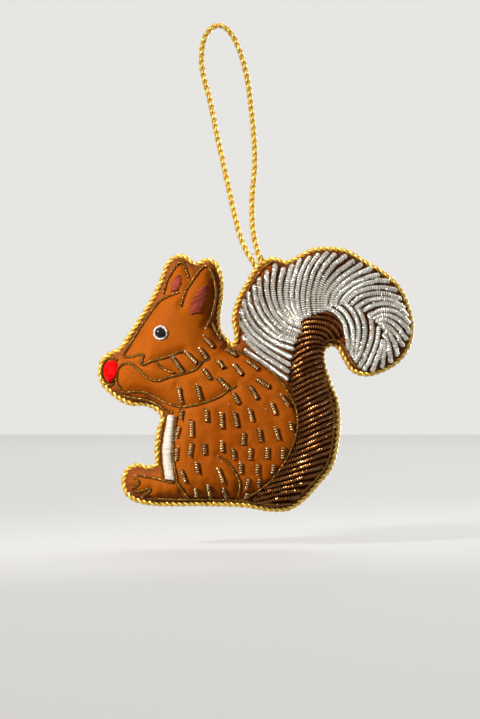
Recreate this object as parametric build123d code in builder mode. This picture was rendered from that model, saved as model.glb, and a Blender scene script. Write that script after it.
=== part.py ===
import math
import os

from build123d import *

# Padded fabric squirrel with metal wire embroidery, hung from a sewn cord loop.
# Frame: origin inside the top of the loop, +Z up, +X to the tail, front face to -Y. Millimetres.

# Driving dimensions
figure_width = 104.0
front_rise = 7.4
back_rise = 6.6
fabric_thickness = 0.6
stuffing_gap = 0.15
cord_diameter = 1.8
rim_gap = 0.15

# Embroidery sizes
lay_gap = 0.3
outline_wire_diameter = 1.0
fur_purl_diameter = 1.4
silver_purl_diameter = 1.7
bronze_purl_diameter = 1.4
purl_gap = 0.25
patch_thickness = 0.5
eye_ring_diameter = 5.0
eye_ring_wire_diameter = 1.0
eye_bead_diameter = 2.7

# Sewn root of the loop
stitch_drop = 75.5
stitch_thread_diameter = 0.5
stitch_play = 0.05
stitch_knot_diameter = 1.2
stitch_knot_gap = 0.35
stitch_foot = 2.6

# Turn in degrees under which a strand counts as straight
straight_turn = 0.6
# Share of a run that each of its two bends may take
bend_share = 0.45
# Rings of the padding, as shares of the way in from the rim to the crown points
cover_ring_shares = [0, 0.1, 0.32, 0.68]
bed_ring_shares = [0, 0.03, 0.1, 0.2, 0.32, 0.48, 0.68]
# Places along a strand where it is seated on the cloth
strand_shares = [0, 0.25, 0.5, 0.75, 1]

# Centre line of the hanging loop, (x, z), from its left root over the top to its right root
loop_route = [
    (10.67, -78.33), (8.83, -74.67), (7.17, -70.17), (5.67, -64.33), (3.5, -54.83), (1.17, -44),
    (-1.17, -33.67), (-3.17, -23), (-5.67, -14.67), (-6, -7.33), (-4.33, -1), (0, 1.83), (4, -1),
    (7.17, -7.67), (9.5, -16.33), (10.67, -25.67), (11.83, -37.67), (12.1, -45.67), (11, -55.67),
    (11, -64.67), (11.83, -71.67), (12.9, -76.27),
]
# The same right root in the photograph, which ties its pixels to the loop
root_pixel = (257.7, 256.8)

# Centre line of the edge cord in pixels, clockwise from the nose, each with its crown point
rim_pixels = [
    (103, 360.5, "snout"), (110.5, 354, "snout"), (120, 349.5, "brow"), (132, 332.5, "brow"),
    (151, 302.5, "head"), (161.5, 281.5, "ears"), (168, 264.5, "ears"), (175.5, 257.5, "ears"),
    (183, 256.5, "ears"), (196, 264.5, "ears"), (208, 260, "ears"), (216, 264.5, "ears"),
    (220.5, 278, "ears"), (221, 294, "ears"), (218, 316, "nape"), (219.5, 331.5, "nape"),
    (227, 341, "nape"), (233.5, 346, "shoulder"), (237, 338.5, "tail_root"),
    (234.5, 319, "tail_root"), (238.5, 301.5, "tail_back"), (248.5, 282.5, "tail_back"),
    (258.5, 266.5, "tail_back"), (266.5, 261, "tail_top"), (276, 259.5, "tail_top"),
    (285, 263, "tail_top"), (296.5, 259, "tail_top"), (310.5, 251.5, "tail_crest"),
    (326, 249, "tail_crest"), (347.5, 252, "tail_crest"), (362.5, 261, "tail_turn"),
    (385.5, 275, "tail_turn"), (399, 288.5, "tail_turn"), (407.5, 307.5, "tail_curl"),
    (411.5, 328, "tail_curl"), (407.5, 347, "tail_tip"), (397, 361, "tail_tip"),
    (380.5, 370.5, "tail_tip"), (366, 374, "tail_tip"), (353, 370, "tail_tip"),
    (345, 358.5, "curl_inside"), (338.5, 347, "curl_inside"), (330.5, 344, "notch_top"),
    (323, 350, "stem_top"), (322.5, 361, "stem_top"), (328.5, 381.5, "stem"),
    (336, 402, "stem_mid"), (338, 421, "stem_mid"), (335.5, 447.5, "stem_low"),
    (330, 467, "stem_low"), (317, 483.5, "rump"), (302.5, 499, "rump"), (288.5, 508, "rump"),
    (270, 509, "rump"), (246, 505, "seat"), (200, 503.5, "seat"), (160, 503.5, "heel"),
    (138.5, 500.5, "toe"), (127.5, 493.5, "toe"), (124, 481, "toe"), (128, 470, "toe"),
    (137, 465.5, "toe"), (149, 468, "ankle"), (157, 464.5, "belly"), (157, 448, "belly"),
    (159.5, 430, "chest"), (163, 416.5, "throat"), (158.5, 410, "throat"), (147.5, 404, "jaw"),
    (128.5, 402.5, "jaw"), (113.5, 393.5, "jaw"), (103, 382.5, "snout"), (100.5, 370, "snout"),
]
crown_pixels = {
    "snout": (121, 371), "brow": (152, 340), "head": (176, 322), "ears": (193, 298),
    "nape": (203, 338), "shoulder": (240, 372), "tail_root": (264, 335), "tail_back": (268, 305),
    "tail_top": (292, 290), "tail_crest": (325, 280), "tail_turn": (360, 292),
    "tail_curl": (383, 322), "tail_tip": (374, 347), "curl_inside": (352, 325),
    "notch_top": (331, 318), "stem_top": (311, 345), "stem": (311, 385), "stem_mid": (314, 420),
    "stem_low": (310, 450), "rump": (292, 474), "seat": (222, 480), "heel": (175, 487),
    "toe": (142, 484), "ankle": (162, 484), "belly": (184, 462), "chest": (184, 435),
    "throat": (182, 405), "jaw": (140, 388),
}
wire_pixels = {
    "brow_wire": [
        (179.9, 292.6), (171.4, 295.8), (163, 300), (155.4, 307.6), (146.4, 320.4), (136.8, 335.2),
        (128.6, 348.5), (125.4, 354),
    ],
    "far_ear_wire": [
        (164.4, 295), (166.4, 286.9), (169.6, 278), (174.6, 269.6), (181.3, 263), (185.2, 269),
        (188.9, 279),
    ],
    "near_ear_wire": [
        (180.9, 306.9), (185.7, 292.1), (190.8, 283.8), (198.4, 273), (206.4, 266.6), (210.5, 273),
        (214.1, 288), (213.2, 301), (209.6, 317),
    ],
    "mouth_wire": [
        (124.5, 357.6), (133, 357), (144, 354.6), (142, 364.2), (153.5, 360.8), (169.3, 355.9),
        (183.1, 350.8),
    ],
    "cheek_wire": [
        (121.2, 388.5), (117.6, 382), (117.2, 374), (120, 367), (126, 363.4), (132.5, 364),
        (140.8, 370.9), (148.5, 377.6), (157, 380), (170.4, 376.5), (188.3, 372.2), (196.5, 368.6),
        (203, 361.5), (208.4, 359.3),
    ],
    "whisker_wire": [(157.5, 364), (164, 368.6), (172, 372.6)],
    "jaw_wire": [
        (125.5, 391.8), (138.7, 390.8), (149, 393), (164.4, 400.6), (175, 405), (187.9, 405.8),
        (206.4, 401.3), (221, 395), (231.4, 387.4),
    ],
    "throat_wire": [
        (127, 396.4), (138.5, 397.2), (148.6, 399.4), (160.8, 405.4), (167.5, 410), (173.6, 412.4),
    ],
    "chest_front_wire": [
        (168.8, 419.4), (165.9, 431), (164.4, 439), (163.6, 447), (163.3, 454), (163.5, 461),
        (163.8, 465.6), (164.3, 470), (164.8, 474),
    ],
    "chest_rear_wire": [(177.5, 418.4), (175.6, 430), (173.8, 446), (174.2, 461), (177.7, 477.6)],
    "leg_wire": [(180, 486), (184.4, 491), (187.2, 494.4)],
    "foot_wire": [(138.4, 475.6), (149, 476.9), (162, 479.4), (174.4, 482)],
    "front_toe_wire": [(135.4, 478), (140.2, 483), (132, 488)],
    "rear_toe_wire": [(133.4, 492), (141, 490), (151.4, 488.2), (143.4, 495)],
    "base_wire": [
        (147.4, 497), (171.5, 498), (207.4, 498.2), (240.5, 499.4), (263, 502.4), (284, 502.6),
    ],
    "haunch_wire": [
        (218.2, 455.4), (226.5, 460.6), (233.1, 469.2), (239.4, 480), (239.4, 488.5), (238, 494.4),
    ],
    "nape_wire": [(210.6, 322.6), (214.2, 331), (219.8, 340.4)],
    "back_wire": [
        (227.2, 347.6), (243.3, 354), (261, 363.4), (277.4, 377.6), (288.7, 393), (295.7, 409.2),
        (297.2, 426.7), (292.8, 444.1), (283.6, 462.6), (271.3, 479), (261, 487.6),
    ],
    "tail_edge_wire": [
        (240, 343.5), (240.4, 326), (242.2, 307.4), (249, 292), (258.6, 275.8), (266.2, 267.2),
    ],
    "curl_edge_wire": [
        (319.6, 346.5), (322.6, 342.2), (331.6, 338.6), (341.4, 341.8), (348.8, 354.6),
        (355.2, 364.4), (363, 367.4),
    ],
    "stem_edge_wire": [
        (321.2, 376.5), (327, 392.6), (331.6, 410.4), (332, 430), (329.6, 449.4), (324.6, 465),
        (313.2, 479.8), (300, 493),
    ],
    "nose_wire": [
        (115.4, 379.6), (111, 382.4), (107.2, 379.6), (105.8, 371.4), (107.6, 364.8), (112, 360.6),
        (117.6, 360.8),
    ],
}
patch_pixels = {
    "nose_patch": [
        (112.2, 364), (115.6, 365), (116.6, 370.6), (114.6, 376), (111, 378.4), (109, 375.6),
        (108.6, 371), (109.6, 366.6),
    ],
    "far_ear_patch": [
        (177.8, 275.2), (181, 278), (180.4, 285.8), (176.7, 291.2), (171.4, 292), (171.6, 285.8),
    ],
    "near_ear_patch": [
        (202.1, 286.8), (206.9, 285.8), (206.3, 295.3), (203.7, 304.8), (198.9, 312.7),
        (190.5, 313.8), (191, 304.8), (195.8, 295.3),
    ],
    "chest_patch": [
        (171.4, 420.4), (174.8, 420.6), (173, 430.5), (171.2, 446.5), (171.6, 461.5),
        (174.4, 476.4), (167, 475.6), (165.2, 461), (165.2, 447), (167.8, 431.6),
    ],
}
purl_pixels = {
    "fur_cheek": [
        (173.5, 358.5, 182, 370), (186.5, 353, 195.8, 363), (198.8, 347.8, 206, 358),
        (203.4, 338, 212, 347.4), (203.6, 368.8, 210.5, 378.9), (179.2, 386.6, 182, 400.6),
        (197.2, 384.1, 200.3, 398),
    ],
    "fur_nape": [
        (217, 360.2, 223.6, 369), (232.5, 364, 242.4, 375.2), (226.4, 351.4, 237, 357.2),
        (217.6, 377.6, 227, 387), (246.6, 361.2, 258.2, 369.8), (256, 378.6, 269, 387),
    ],
    "fur_chest": [
        (183, 409.6, 182.6, 420), (192.1, 419.5, 192.1, 436), (181, 426.6, 178.2, 437.5),
        (178.6, 447.7, 177.9, 459.5), (191.9, 442.5, 189.8, 455.4), (182, 468.7, 186.2, 480.6),
    ],
    "fur_flank": [
        (206.4, 408.7, 206.9, 421.6), (220.9, 411.8, 222.1, 427.7), (233.9, 411.3, 237.3, 426.7),
        (248.8, 408.2, 251.8, 420), (249, 385.6, 257.1, 398.5), (233, 392.8, 238.4, 403),
        (243.3, 432.3, 242.9, 444.1), (258.8, 428.2, 260.6, 440.5),
    ],
    "fur_rump": [
        (280.6, 394.8, 287, 405), (270.7, 401.5, 275, 413.4), (289.2, 421.5, 290.8, 430.4),
        (274.7, 426.1, 278.1, 439.5), (282.5, 446.1, 281.3, 456.9), (266.4, 446.6, 266.4, 458),
        (272.8, 463.1, 271.3, 472),
    ],
    "fur_haunch": [
        (204.4, 442.5, 204.9, 453.9), (221.3, 440, 222.6, 451), (232.7, 447.7, 234, 457.6),
        (250, 447.2, 249.5, 459), (240.3, 461.5, 241, 471.4), (257.2, 463.1, 256.7, 473.4),
        (248.6, 477.4, 246.6, 486), (259.4, 477.4, 257.6, 483.8),
    ],
    "fur_thigh": [
        (196.4, 461, 198.5, 472.8), (217.6, 466.6, 223, 480.5), (195.7, 485.7, 196.6, 494),
        (208, 483.6, 209.3, 494), (222.6, 486.7, 225.8, 494.4), (248.4, 490, 245.4, 494.6),
    ],
}
silver_pixels = {
    "silver_rear": [
        ((246, 345), (263, 358), (281, 371)),
        ((246, 322.4), (260, 341.5), (282.5, 358)),
        ((249.6, 304.4), (263, 325), (284, 341)),
        ((258.4, 286.4), (270, 307), (289, 326)),
        ((268.4, 273.6), (277, 296), (294, 316.6)),
    ],
    "silver_crown": [
        ((277, 269), (281, 281), (286, 293.6)),
        ((299, 265), (297, 275), (296, 286.6)),
        ((322, 257), (315, 267.5), (310, 278.6)),
        ((341, 258.4), (331, 268), (323, 278.6)),
        ((354.6, 263.6), (345, 270.5), (337, 278.6)),
    ],
    "silver_heart": [
        ((290.8, 299.4), (294.8, 307.2), (301, 314.2)),
        ((299.4, 293), (301, 303), (306, 313)),
        ((311, 285), (311.6, 298), (314.6, 310.6)),
        ((323.5, 285), (321.6, 297), (322.4, 307.4)),
        ((336, 285), (332, 293), (330, 301.6)),
    ],
    "silver_curl": [
        ((362, 268.6), (348, 284), (338.4, 301)),
        ((377, 277.6), (359, 289.5), (348, 303)),
        ((391.6, 291), (374, 297), (360, 307)),
        ((401, 307.6), (385, 306), (368.6, 313.4)),
        ((404.6, 325), (391, 316.6), (376, 321)),
        ((402.4, 342), (393, 329.4), (381.6, 328.6)),
    ],
    "silver_inner": [
        ((330, 312.6), (343.5, 323), (349.6, 347)),
        ((340, 311), (353, 325), (355, 352)),
        ((350, 311.4), (361, 328), (359.6, 360)),
        ((360, 315.6), (368, 332), (365.4, 364)),
        ((368.6, 322), (374, 338), (371.6, 366)),
    ],
    "silver_tip": [
        ((379.4, 334), (381.8, 349), (378.6, 364.2)),
        ((385.8, 335.6), (389.2, 347), (386.2, 360.4)),
        ((391.8, 335.8), (397, 344.6), (395.8, 354)),
    ],
}
bronze_pixels = {
    "bronze_upper": [
        ((303, 320.6), (319.6, 318.6), (335.6, 329.4)),
        ((298.4, 331), (312, 326.2), (325.8, 332.6)),
        ((293, 347), (304.4, 339.4), (315, 340.6)),
        ((291, 367), (303.6, 357.6), (316.4, 350.6)),
        ((292.4, 385), (305, 375.4), (317.4, 366.4)),
    ],
    "bronze_lower": [
        ((295.4, 391.4), (307, 381.6), (317.4, 372.6)),
        ((299.8, 406), (309.6, 397.2), (319, 389.6)),
        ((302, 421.6), (313.4, 412.8), (324, 405.2)),
        ((301.8, 440.6), (314.4, 432), (325.2, 423.8)),
        ((293.8, 460), (309.4, 451.4), (323.4, 443.8)),
        ((281.8, 477), (300.4, 471), (317.4, 463.6)),
        ((269, 489.4), (287.6, 486.2), (305, 480.4)),
        ((261, 497.8), (275, 498), (289.6, 496)),
    ],
}
eye_pixel = (160.3, 332.8)

# Photograph to figure
rim_columns = [across for across, down, crown in rim_pixels]
pixel_size = figure_width / (max(rim_columns) - min(rim_columns))
root_x, root_z = loop_route[-1]
cord_radius = cord_diameter / 2


def place(pixel):
    """Give the x and z of a photograph pixel on the figure."""
    across, down = pixel
    return (root_x + (across - root_pixel[0]) * pixel_size, root_z - (down - root_pixel[1]) * pixel_size)


rim_points = [place((across, down)) for across, down, crown in rim_pixels]
crown_points = [place(crown_pixels[crown]) for across, down, crown in rim_pixels]


def upright(point):
    """Stand a drawn (x, z) point in the seam plane."""
    return Vector(point[0], 0, point[1])


def bend_radii(points, closed=False):
    """Give the widest bend that each corner's shorter run allows."""
    if closed:
        corners = zip(points[-1:] + points[:-1], points, points[1:] + points[:1])
    else:
        corners = zip(points, points[1:], points[2:])
    radii = []
    for before, here, after in corners:
        run_in = here - before
        run_out = after - here
        half_turn = math.radians(run_in.get_angle(run_out)) / 2
        radii.append(bend_share * min(run_in.length, run_out.length) / math.tan(half_turn))
    return radii


rim_radii = bend_radii([upright(point) for point in rim_points], closed=True)


def inset_rim(distance):
    """Move the rim's corners inward, clear of the edge cord where it cuts a corner."""
    corners = [Vector(*point) for point in rim_points]
    moved = []
    for before, here, after, radius in zip(
        corners[-1:] + corners, corners, corners[1:] + corners[:1], rim_radii
    ):
        run_in = (here - before).normalized()
        run_out = (after - here).normalized()
        inward = (run_in + run_out).normalized().rotate(Axis.Z, -90)
        slant = inward.dot(run_in.rotate(Axis.Z, -90))
        bulges = run_in.cross(run_out).Z < 0
        corner_cut = radius * (1 / slant - 1) if bulges else 0
        moved.append(here + inward * (distance / slant + corner_cut))
    return moved


def loft_pad(side, grow, rise, ring_shares, mode=Mode.ADD):
    """Loft one padded half from the seam to its crown, grown by a skin's thickness."""
    rim = inset_rim(cord_radius + rim_gap - grow)
    sections = []
    for spread in ring_shares:
        height = math.sqrt(1 - (1 - spread / ring_shares[-1]) ** 2)
        depth = height * rise + grow if height else 0
        corners = [edge + (Vector(*crown) - edge) * spread for edge, crown in zip(rim, crown_points)]
        with BuildSketch(Plane.XZ.offset(side * depth)) as section:
            with BuildLine():
                Polyline(*corners, close=True)
            make_face()
        sections.append(section.sketch)
    loft(sections, ruled=True, mode=mode)


def sweep_round(points, diameter, closed=False):
    """Sweep a round section along straight runs joined by tangent arcs."""
    with BuildLine() as path:
        if len(points) == 2:
            Line(*points)
        else:
            FilletPolyline(*points, radius=bend_radii(points, closed), close=closed)
    with BuildSketch(Plane(origin=path.line @ 0, z_dir=path.line % 0)) as section:
        Circle(diameter / 2)
    sweep(section.sketch, path=path.line)


def finish(piece, name):
    """Label a piece and write it out."""
    piece.part.label = name
    export_step(piece.part, f"parts/{name}.step")


os.makedirs("parts", exist_ok=True)

# Front and back covers, sewn together at the seam plane
with BuildPart() as front_panel:
    loft_pad(1, 0, front_rise, cover_ring_shares)
    loft_pad(1, -fabric_thickness, front_rise, cover_ring_shares, mode=Mode.SUBTRACT)
finish(front_panel, "front_panel")

with BuildPart() as back_panel:
    loft_pad(-1, 0, back_rise, cover_ring_shares)
    loft_pad(-1, -fabric_thickness, back_rise, cover_ring_shares, mode=Mode.SUBTRACT)
finish(back_panel, "back_panel")

# Fibre filling inside both covers
with BuildPart() as stuffing:
    loft_pad(1, -fabric_thickness - stuffing_gap, front_rise, cover_ring_shares)
    loft_pad(-1, -fabric_thickness - stuffing_gap, back_rise, cover_ring_shares)
finish(stuffing, "stuffing")

# Cord couched all round over the seam
with BuildPart() as edge_cord:
    sweep_round([upright(point) for point in rim_points], cord_diameter, closed=True)
finish(edge_cord, "edge_cord")

# Hanging loop, pierced at both roots by the thread that sews it on
loop_points = [upright(point) for point in loop_route]
loop_radii = bend_radii(loop_points)
print("loop bends:", [round(radius, 1) for radius in loop_radii])


def strand_at_stitch(low, high):
    """Give the x of a loop strand at the height of the stitch."""
    share = (-stitch_drop - low[1]) / (high[1] - low[1])
    return low[0] + (high[0] - low[0]) * share


left_x = strand_at_stitch(loop_route[0], loop_route[1])
right_x = strand_at_stitch(loop_route[-1], loop_route[-2])

with BuildPart() as hanging_loop:
    sweep_round(loop_points, cord_diameter)
    with Locations((left_x, 0, -stitch_drop), (right_x, 0, -stitch_drop)):
        Cylinder(
            stitch_thread_diameter / 2 + stitch_play, 2 * cord_diameter, rotation=(0, 90, 0),
            mode=Mode.SUBTRACT,
        )
finish(hanging_loop, "hanging_loop")

# Sewing thread: a knot, a bar through both strands, and a foot let into the edge cord
knot_x = left_x - cord_radius - stitch_knot_gap - stitch_knot_diameter / 2
bar_end_x = right_x + cord_radius + stitch_foot / 2
with BuildPart() as loop_stitch:
    sweep_round(
        [
            Vector(knot_x, 0, -stitch_drop), Vector(bar_end_x, 0, -stitch_drop),
            Vector(bar_end_x + stitch_thread_diameter, 0, -stitch_drop - stitch_foot),
        ],
        stitch_thread_diameter,
    )
    with Locations((knot_x, 0, -stitch_drop)):
        Sphere(stitch_knot_diameter / 2)
finish(loop_stitch, "loop_stitch")

# Smooth form that the embroidery lies on, and the skins that bound the thread patches
with BuildPart() as bed_form:
    loft_pad(1, 0, front_rise, bed_ring_shares)
with BuildPart() as patch_back:
    loft_pad(1, lay_gap, front_rise, cover_ring_shares)
with BuildPart() as patch_front:
    loft_pad(1, lay_gap + patch_thickness, front_rise, cover_ring_shares)


def seat(pixel, lift):
    """Give the point that stands off the front cover by the lift, square to the cloth."""
    x, z = place(pixel)
    sight = Axis((x, -2 * front_rise, z), (0, 1, 0))
    point, normal = min(bed_form.part.find_intersection_points(sight), key=lambda hit: hit[0].Y)
    return point + normal * lift


def taut(points):
    """Leave out the points where a strand runs straight on."""
    kept = points[:1]
    for here, after in zip(points[1:], points[2:]):
        if (here - kept[-1]).get_angle(after - here) > straight_turn:
            kept.append(here)
    return kept + points[-1:]


def between(first, second, share):
    """Blend two pixels."""
    return tuple(a + (b - a) * share for a, b in zip(first, second))


def add_strand(pixels, diameter):
    """Lay one wire on the cloth through its pixels, raised where a straight run would cut into it."""
    lift = diameter / 2 + lay_gap
    points = [seat(pixel, lift) for pixel in pixels]
    raises = [0] * len(points)
    for index, (first, second) in enumerate(zip(pixels, pixels[1:])):
        run_middle = (points[index] + points[index + 1]) / 2
        sag = run_middle.Y - seat(between(first, second, 1 / 2), lift).Y
        raises[index] = max(raises[index], sag)
        raises[index + 1] = max(raises[index + 1], sag)
    sweep_round(taut([point - Vector(0, rise, 0) for point, rise in zip(points, raises)]), diameter)


# Outline wires
for name, pixels in wire_pixels.items():
    with BuildPart() as wire:
        add_strand(pixels, outline_wire_diameter)
    finish(wire, name)

# Short fur purls, a group for each patch of the coat
for name, ends in purl_pixels.items():
    with BuildPart() as purls:
        for top_x, top_y, low_x, low_y in ends:
            add_strand([(top_x, top_y), (low_x, low_y)], fur_purl_diameter)
    finish(purls, name)


def through(strand, share):
    """Give a place on the curve through a strand's start, middle and end."""
    start, middle, end = strand
    weights = ((1 - share) * (1 - 2 * share), 4 * share * (1 - share), share * (2 * share - 1))
    return tuple(sum(w * p[i] for w, p in zip(weights, (start, middle, end))) for i in range(2))


def least_distance(first, second):
    """Give the least distance between two strands."""
    return min(
        math.dist(through(first, share), through(second, other_share))
        for share in strand_shares for other_share in strand_shares
    )


def add_family(keys, diameter):
    """Fill the space between key strands with as many strands as lie side by side."""
    pitch = (diameter + purl_gap) / pixel_size
    steps = [least_distance(first, second) for first, second in zip(keys, keys[1:])]
    count = math.floor(sum(steps) / pitch)
    for number in range(count + 1):
        way = sum(steps) * number / count
        index = 0
        while index < len(steps) - 1 and way > steps[index]:
            way -= steps[index]
            index += 1
        strand = [between(a, b, way / steps[index]) for a, b in zip(keys[index], keys[index + 1])]
        add_strand([through(strand, share) for share in strand_shares], diameter)


# Silver and bronze purls side by side over the tail
for families, diameter in ((silver_pixels, silver_purl_diameter), (bronze_pixels, bronze_purl_diameter)):
    for name, keys in families.items():
        with BuildPart() as strands:
            add_family(keys, diameter)
        finish(strands, name)

# Thread patches: nose, inner ears and chest
for name, pixels in patch_pixels.items():
    with BuildPart() as patch:
        with BuildSketch(Plane.XZ):
            with BuildLine():
                Polyline(*[place(pixel) for pixel in pixels], close=True)
            make_face()
        extrude(amount=2 * front_rise)
        add(patch_front.part, mode=Mode.INTERSECT)
        add(patch_back.part, mode=Mode.SUBTRACT)
    finish(patch, name)

# Eye: a ring of wire round a bead
eye_centre = seat(eye_pixel, 0)
eye_plane = Plane(origin=eye_centre, z_dir=seat(eye_pixel, 1) - eye_centre)
with BuildPart() as eye_ring:
    with Locations(eye_plane.offset(eye_ring_wire_diameter / 2 + lay_gap)):
        Torus((eye_ring_diameter - eye_ring_wire_diameter) / 2, eye_ring_wire_diameter / 2)
finish(eye_ring, "eye_ring")

with BuildPart() as eye_bead:
    with Locations(eye_plane.offset(eye_bead_diameter / 2 + lay_gap)):
        Sphere(eye_bead_diameter / 2)
finish(eye_bead, "eye_bead")
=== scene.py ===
import math
import random

import bmesh
import bpy
import numpy as np
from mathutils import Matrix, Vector, geometry
from mathutils.bvhtree import BVHTree


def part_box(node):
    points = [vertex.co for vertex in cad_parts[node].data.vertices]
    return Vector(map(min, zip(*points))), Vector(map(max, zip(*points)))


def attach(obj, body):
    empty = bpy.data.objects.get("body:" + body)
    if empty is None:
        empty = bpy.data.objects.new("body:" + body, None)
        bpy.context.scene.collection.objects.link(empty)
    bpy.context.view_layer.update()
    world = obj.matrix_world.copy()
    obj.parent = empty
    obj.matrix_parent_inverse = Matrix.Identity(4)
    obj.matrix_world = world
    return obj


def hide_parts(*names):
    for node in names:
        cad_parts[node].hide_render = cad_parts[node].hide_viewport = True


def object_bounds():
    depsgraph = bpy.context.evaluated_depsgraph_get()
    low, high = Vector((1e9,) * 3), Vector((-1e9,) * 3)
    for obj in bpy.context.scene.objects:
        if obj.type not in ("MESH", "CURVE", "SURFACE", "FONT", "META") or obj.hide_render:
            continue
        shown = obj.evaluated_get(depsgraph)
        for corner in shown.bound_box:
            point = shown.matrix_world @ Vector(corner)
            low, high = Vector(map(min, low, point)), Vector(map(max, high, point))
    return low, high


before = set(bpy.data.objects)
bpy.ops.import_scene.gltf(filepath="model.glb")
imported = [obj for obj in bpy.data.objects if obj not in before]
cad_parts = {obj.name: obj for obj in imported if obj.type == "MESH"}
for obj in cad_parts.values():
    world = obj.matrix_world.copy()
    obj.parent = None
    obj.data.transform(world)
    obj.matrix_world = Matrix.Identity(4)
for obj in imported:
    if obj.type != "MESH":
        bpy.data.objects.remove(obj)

# Padded fabric squirrel with coiled metal embroidery, hung from a cord loop.
# Metres, +Z up, +X to the tail, front face to -Y, origin inside the top of the loop.
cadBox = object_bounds()
scene = bpy.context.scene
scene.view_settings.view_transform = "Standard"
dice = random.Random(7)
mm = 0.001

# Photograph to figure: pixels of the 480 x 719 picture to metres
photo = {
    "width": 480,
    "height": 719,
    "leftmost": 100.5,               # edge cord's centre line at the nose
    "rightmost": 411.5,              # and at the tail
    "figureWidth": 104 * mm,
    "rootPixel": (257.7, 256.8),     # right root of the loop
    "rootPlace": (12.9 * mm, -76.27 * mm),
}
pixelSize = photo["figureWidth"] / (photo["rightmost"] - photo["leftmost"])


def place(pixel):
    across = photo["rootPlace"][0] + (pixel[0] - photo["rootPixel"][0]) * pixelSize
    up = photo["rootPlace"][1] - (pixel[1] - photo["rootPixel"][1]) * pixelSize
    return np.array([across, up])


# Camera, straight on from a long way off
camera = {"distance": 1.0, "sensor": 36.0}
middle = place((photo["width"] / 2, photo["height"] / 2))
cameraData = bpy.data.cameras.new("camera")
cameraData.sensor_width = camera["sensor"]
cameraData.lens = camera["sensor"] * camera["distance"] / (photo["height"] * pixelSize)
cameraObject = bpy.data.objects.new("camera", cameraData)
cameraObject.location = (middle[0], -camera["distance"], middle[1])
cameraObject.rotation_euler = (math.radians(90), 0, 0)
scene.collection.objects.link(cameraObject)
scene.camera = cameraObject


# Node and colour tools
def linear(hexColour):
    parts = [int(hexColour[i:i + 2], 16) / 255 for i in (1, 3, 5)]
    return tuple(c / 12.92 if c <= 0.04045 else ((c + 0.055) / 1.055) ** 2.4 for c in parts) + (1.0,)


# Adds a node, sets its properties, and fills or links its inputs by name or number
def addNode(tree, kind, settings=None, inputs=None):
    node = tree.nodes.new(kind)
    for key, value in (settings or {}).items():
        setattr(node, key, value)
    for key, value in (inputs or {}).items():
        if isinstance(value, bpy.types.NodeSocket):
            tree.links.new(value, node.inputs[key])
        else:
            node.inputs[key].default_value = value
    return node


def mathNode(tree, operation, *values):
    return addNode(tree, "ShaderNodeMath", {"operation": operation}, dict(enumerate(values))).outputs[0]


def mixColour(tree, share, first, second, blend="MIX"):
    return addNode(tree, "ShaderNodeMix", {"data_type": "RGBA", "blend_type": blend}, {
        "Factor": share, 6: first, 7: second}).outputs[2]


# A ramp from one colour to another, and where on it they stand
def colourRamp(tree, share, dark, light, low=0.0, high=1.0):
    ramp = addNode(tree, "ShaderNodeValToRGB", None, {"Fac": share})
    for element, colour, position in zip(ramp.color_ramp.elements, (dark, light), (low, high)):
        element.position = position
        element.color = linear(colour)
    return ramp.outputs["Color"]


# Fine relief of a finish, its depth in metres
def addRelief(tree, shader, height, strength, distance):
    bump = addNode(tree, "ShaderNodeBump", None, {
        "Height": height, "Strength": strength, "Distance": distance})
    tree.links.new(bump.outputs["Normal"], shader.inputs["Normal"])


# Keeps a value on the points of a line for its material to read
def storeShade(tree, line, name, value):
    return addNode(tree, "GeometryNodeStoreNamedAttribute", {"data_type": "FLOAT", "domain": "POINT"}, {
        "Geometry": line, "Name": name, "Value": value}).outputs[0]


def newMaterial(name):
    material = bpy.data.materials.new(name)
    material.use_nodes = True
    tree = material.node_tree
    return material, tree, tree.nodes["Principled BSDF"]


# Wave Texture bands repeat every tau / 20 of their scaled length
def bandScale(period):
    return math.tau / 20 / period


# Woven cotton: a fine plain weave, softly mottled by the dye, with a short nap that catches side light, and
# painted shade on the cloth beside the seam and between the purl strands
def wovenCotton(name, colours, weave):
    material, tree, shader = newMaterial(name)
    spot = addNode(tree, "ShaderNodeTexCoord").outputs["Object"]
    warp = addNode(tree, "ShaderNodeTexWave", {"bands_direction": "X"}, {
        "Vector": spot, "Scale": bandScale(weave["thread"]), "Distortion": 0.6, "Detail": 1.0})
    weft = addNode(tree, "ShaderNodeTexWave", {"bands_direction": "Z"}, {
        "Vector": spot, "Scale": bandScale(weave["thread"]), "Distortion": 0.6, "Detail": 1.0})
    cross = mathNode(tree, "MULTIPLY", warp.outputs["Fac"], weft.outputs["Fac"])
    mottle = addNode(tree, "ShaderNodeTexNoise", None, {
        "Vector": spot, "Scale": 1 / weave["mottle"], "Detail": 4.0, "Roughness": 0.6})
    slub = addNode(tree, "ShaderNodeTexNoise", None, {
        "Vector": spot, "Scale": 1 / weave["slub"], "Detail": 2.0})
    dye = colourRamp(tree, mottle.outputs["Fac"], colours["deep"], colours["bright"], 0.3, 0.72)
    grain = mixColour(tree, 0.34, dye, slub.outputs["Fac"], "MULTIPLY")
    woven = mixColour(tree, 0.12, grain, cross, "MULTIPLY")
    # painted shade: the seam colour darkens the cloth beside the seam, and the under colour darkens it between
    # the strands
    seam = addNode(tree, "ShaderNodeAttribute", {"attribute_name": "paintedSeamShade"})
    paintedShading = mixColour(tree, seam.outputs["Fac"], woven, linear(colours["seam"]))
    under = addNode(tree, "ShaderNodeAttribute", {"attribute_name": "paintedUnderShade"})
    shadowed = mixColour(tree, under.outputs["Fac"], paintedShading, linear(colours["under"]))
    tree.links.new(shadowed, shader.inputs["Base Color"])
    height = mathNode(tree, "ADD", cross, slub.outputs["Fac"])
    addRelief(tree, shader, height, 0.5, weave["relief"])
    shader.inputs["Roughness"].default_value = 0.62
    shader.inputs["Specular IOR Level"].default_value = 0.05
    shader.inputs["Sheen Weight"].default_value = 0.02
    shader.inputs["Sheen Roughness"].default_value = 0.4
    shader.inputs["Sheen Tint"].default_value = linear(colours["bright"])
    return material
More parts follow.
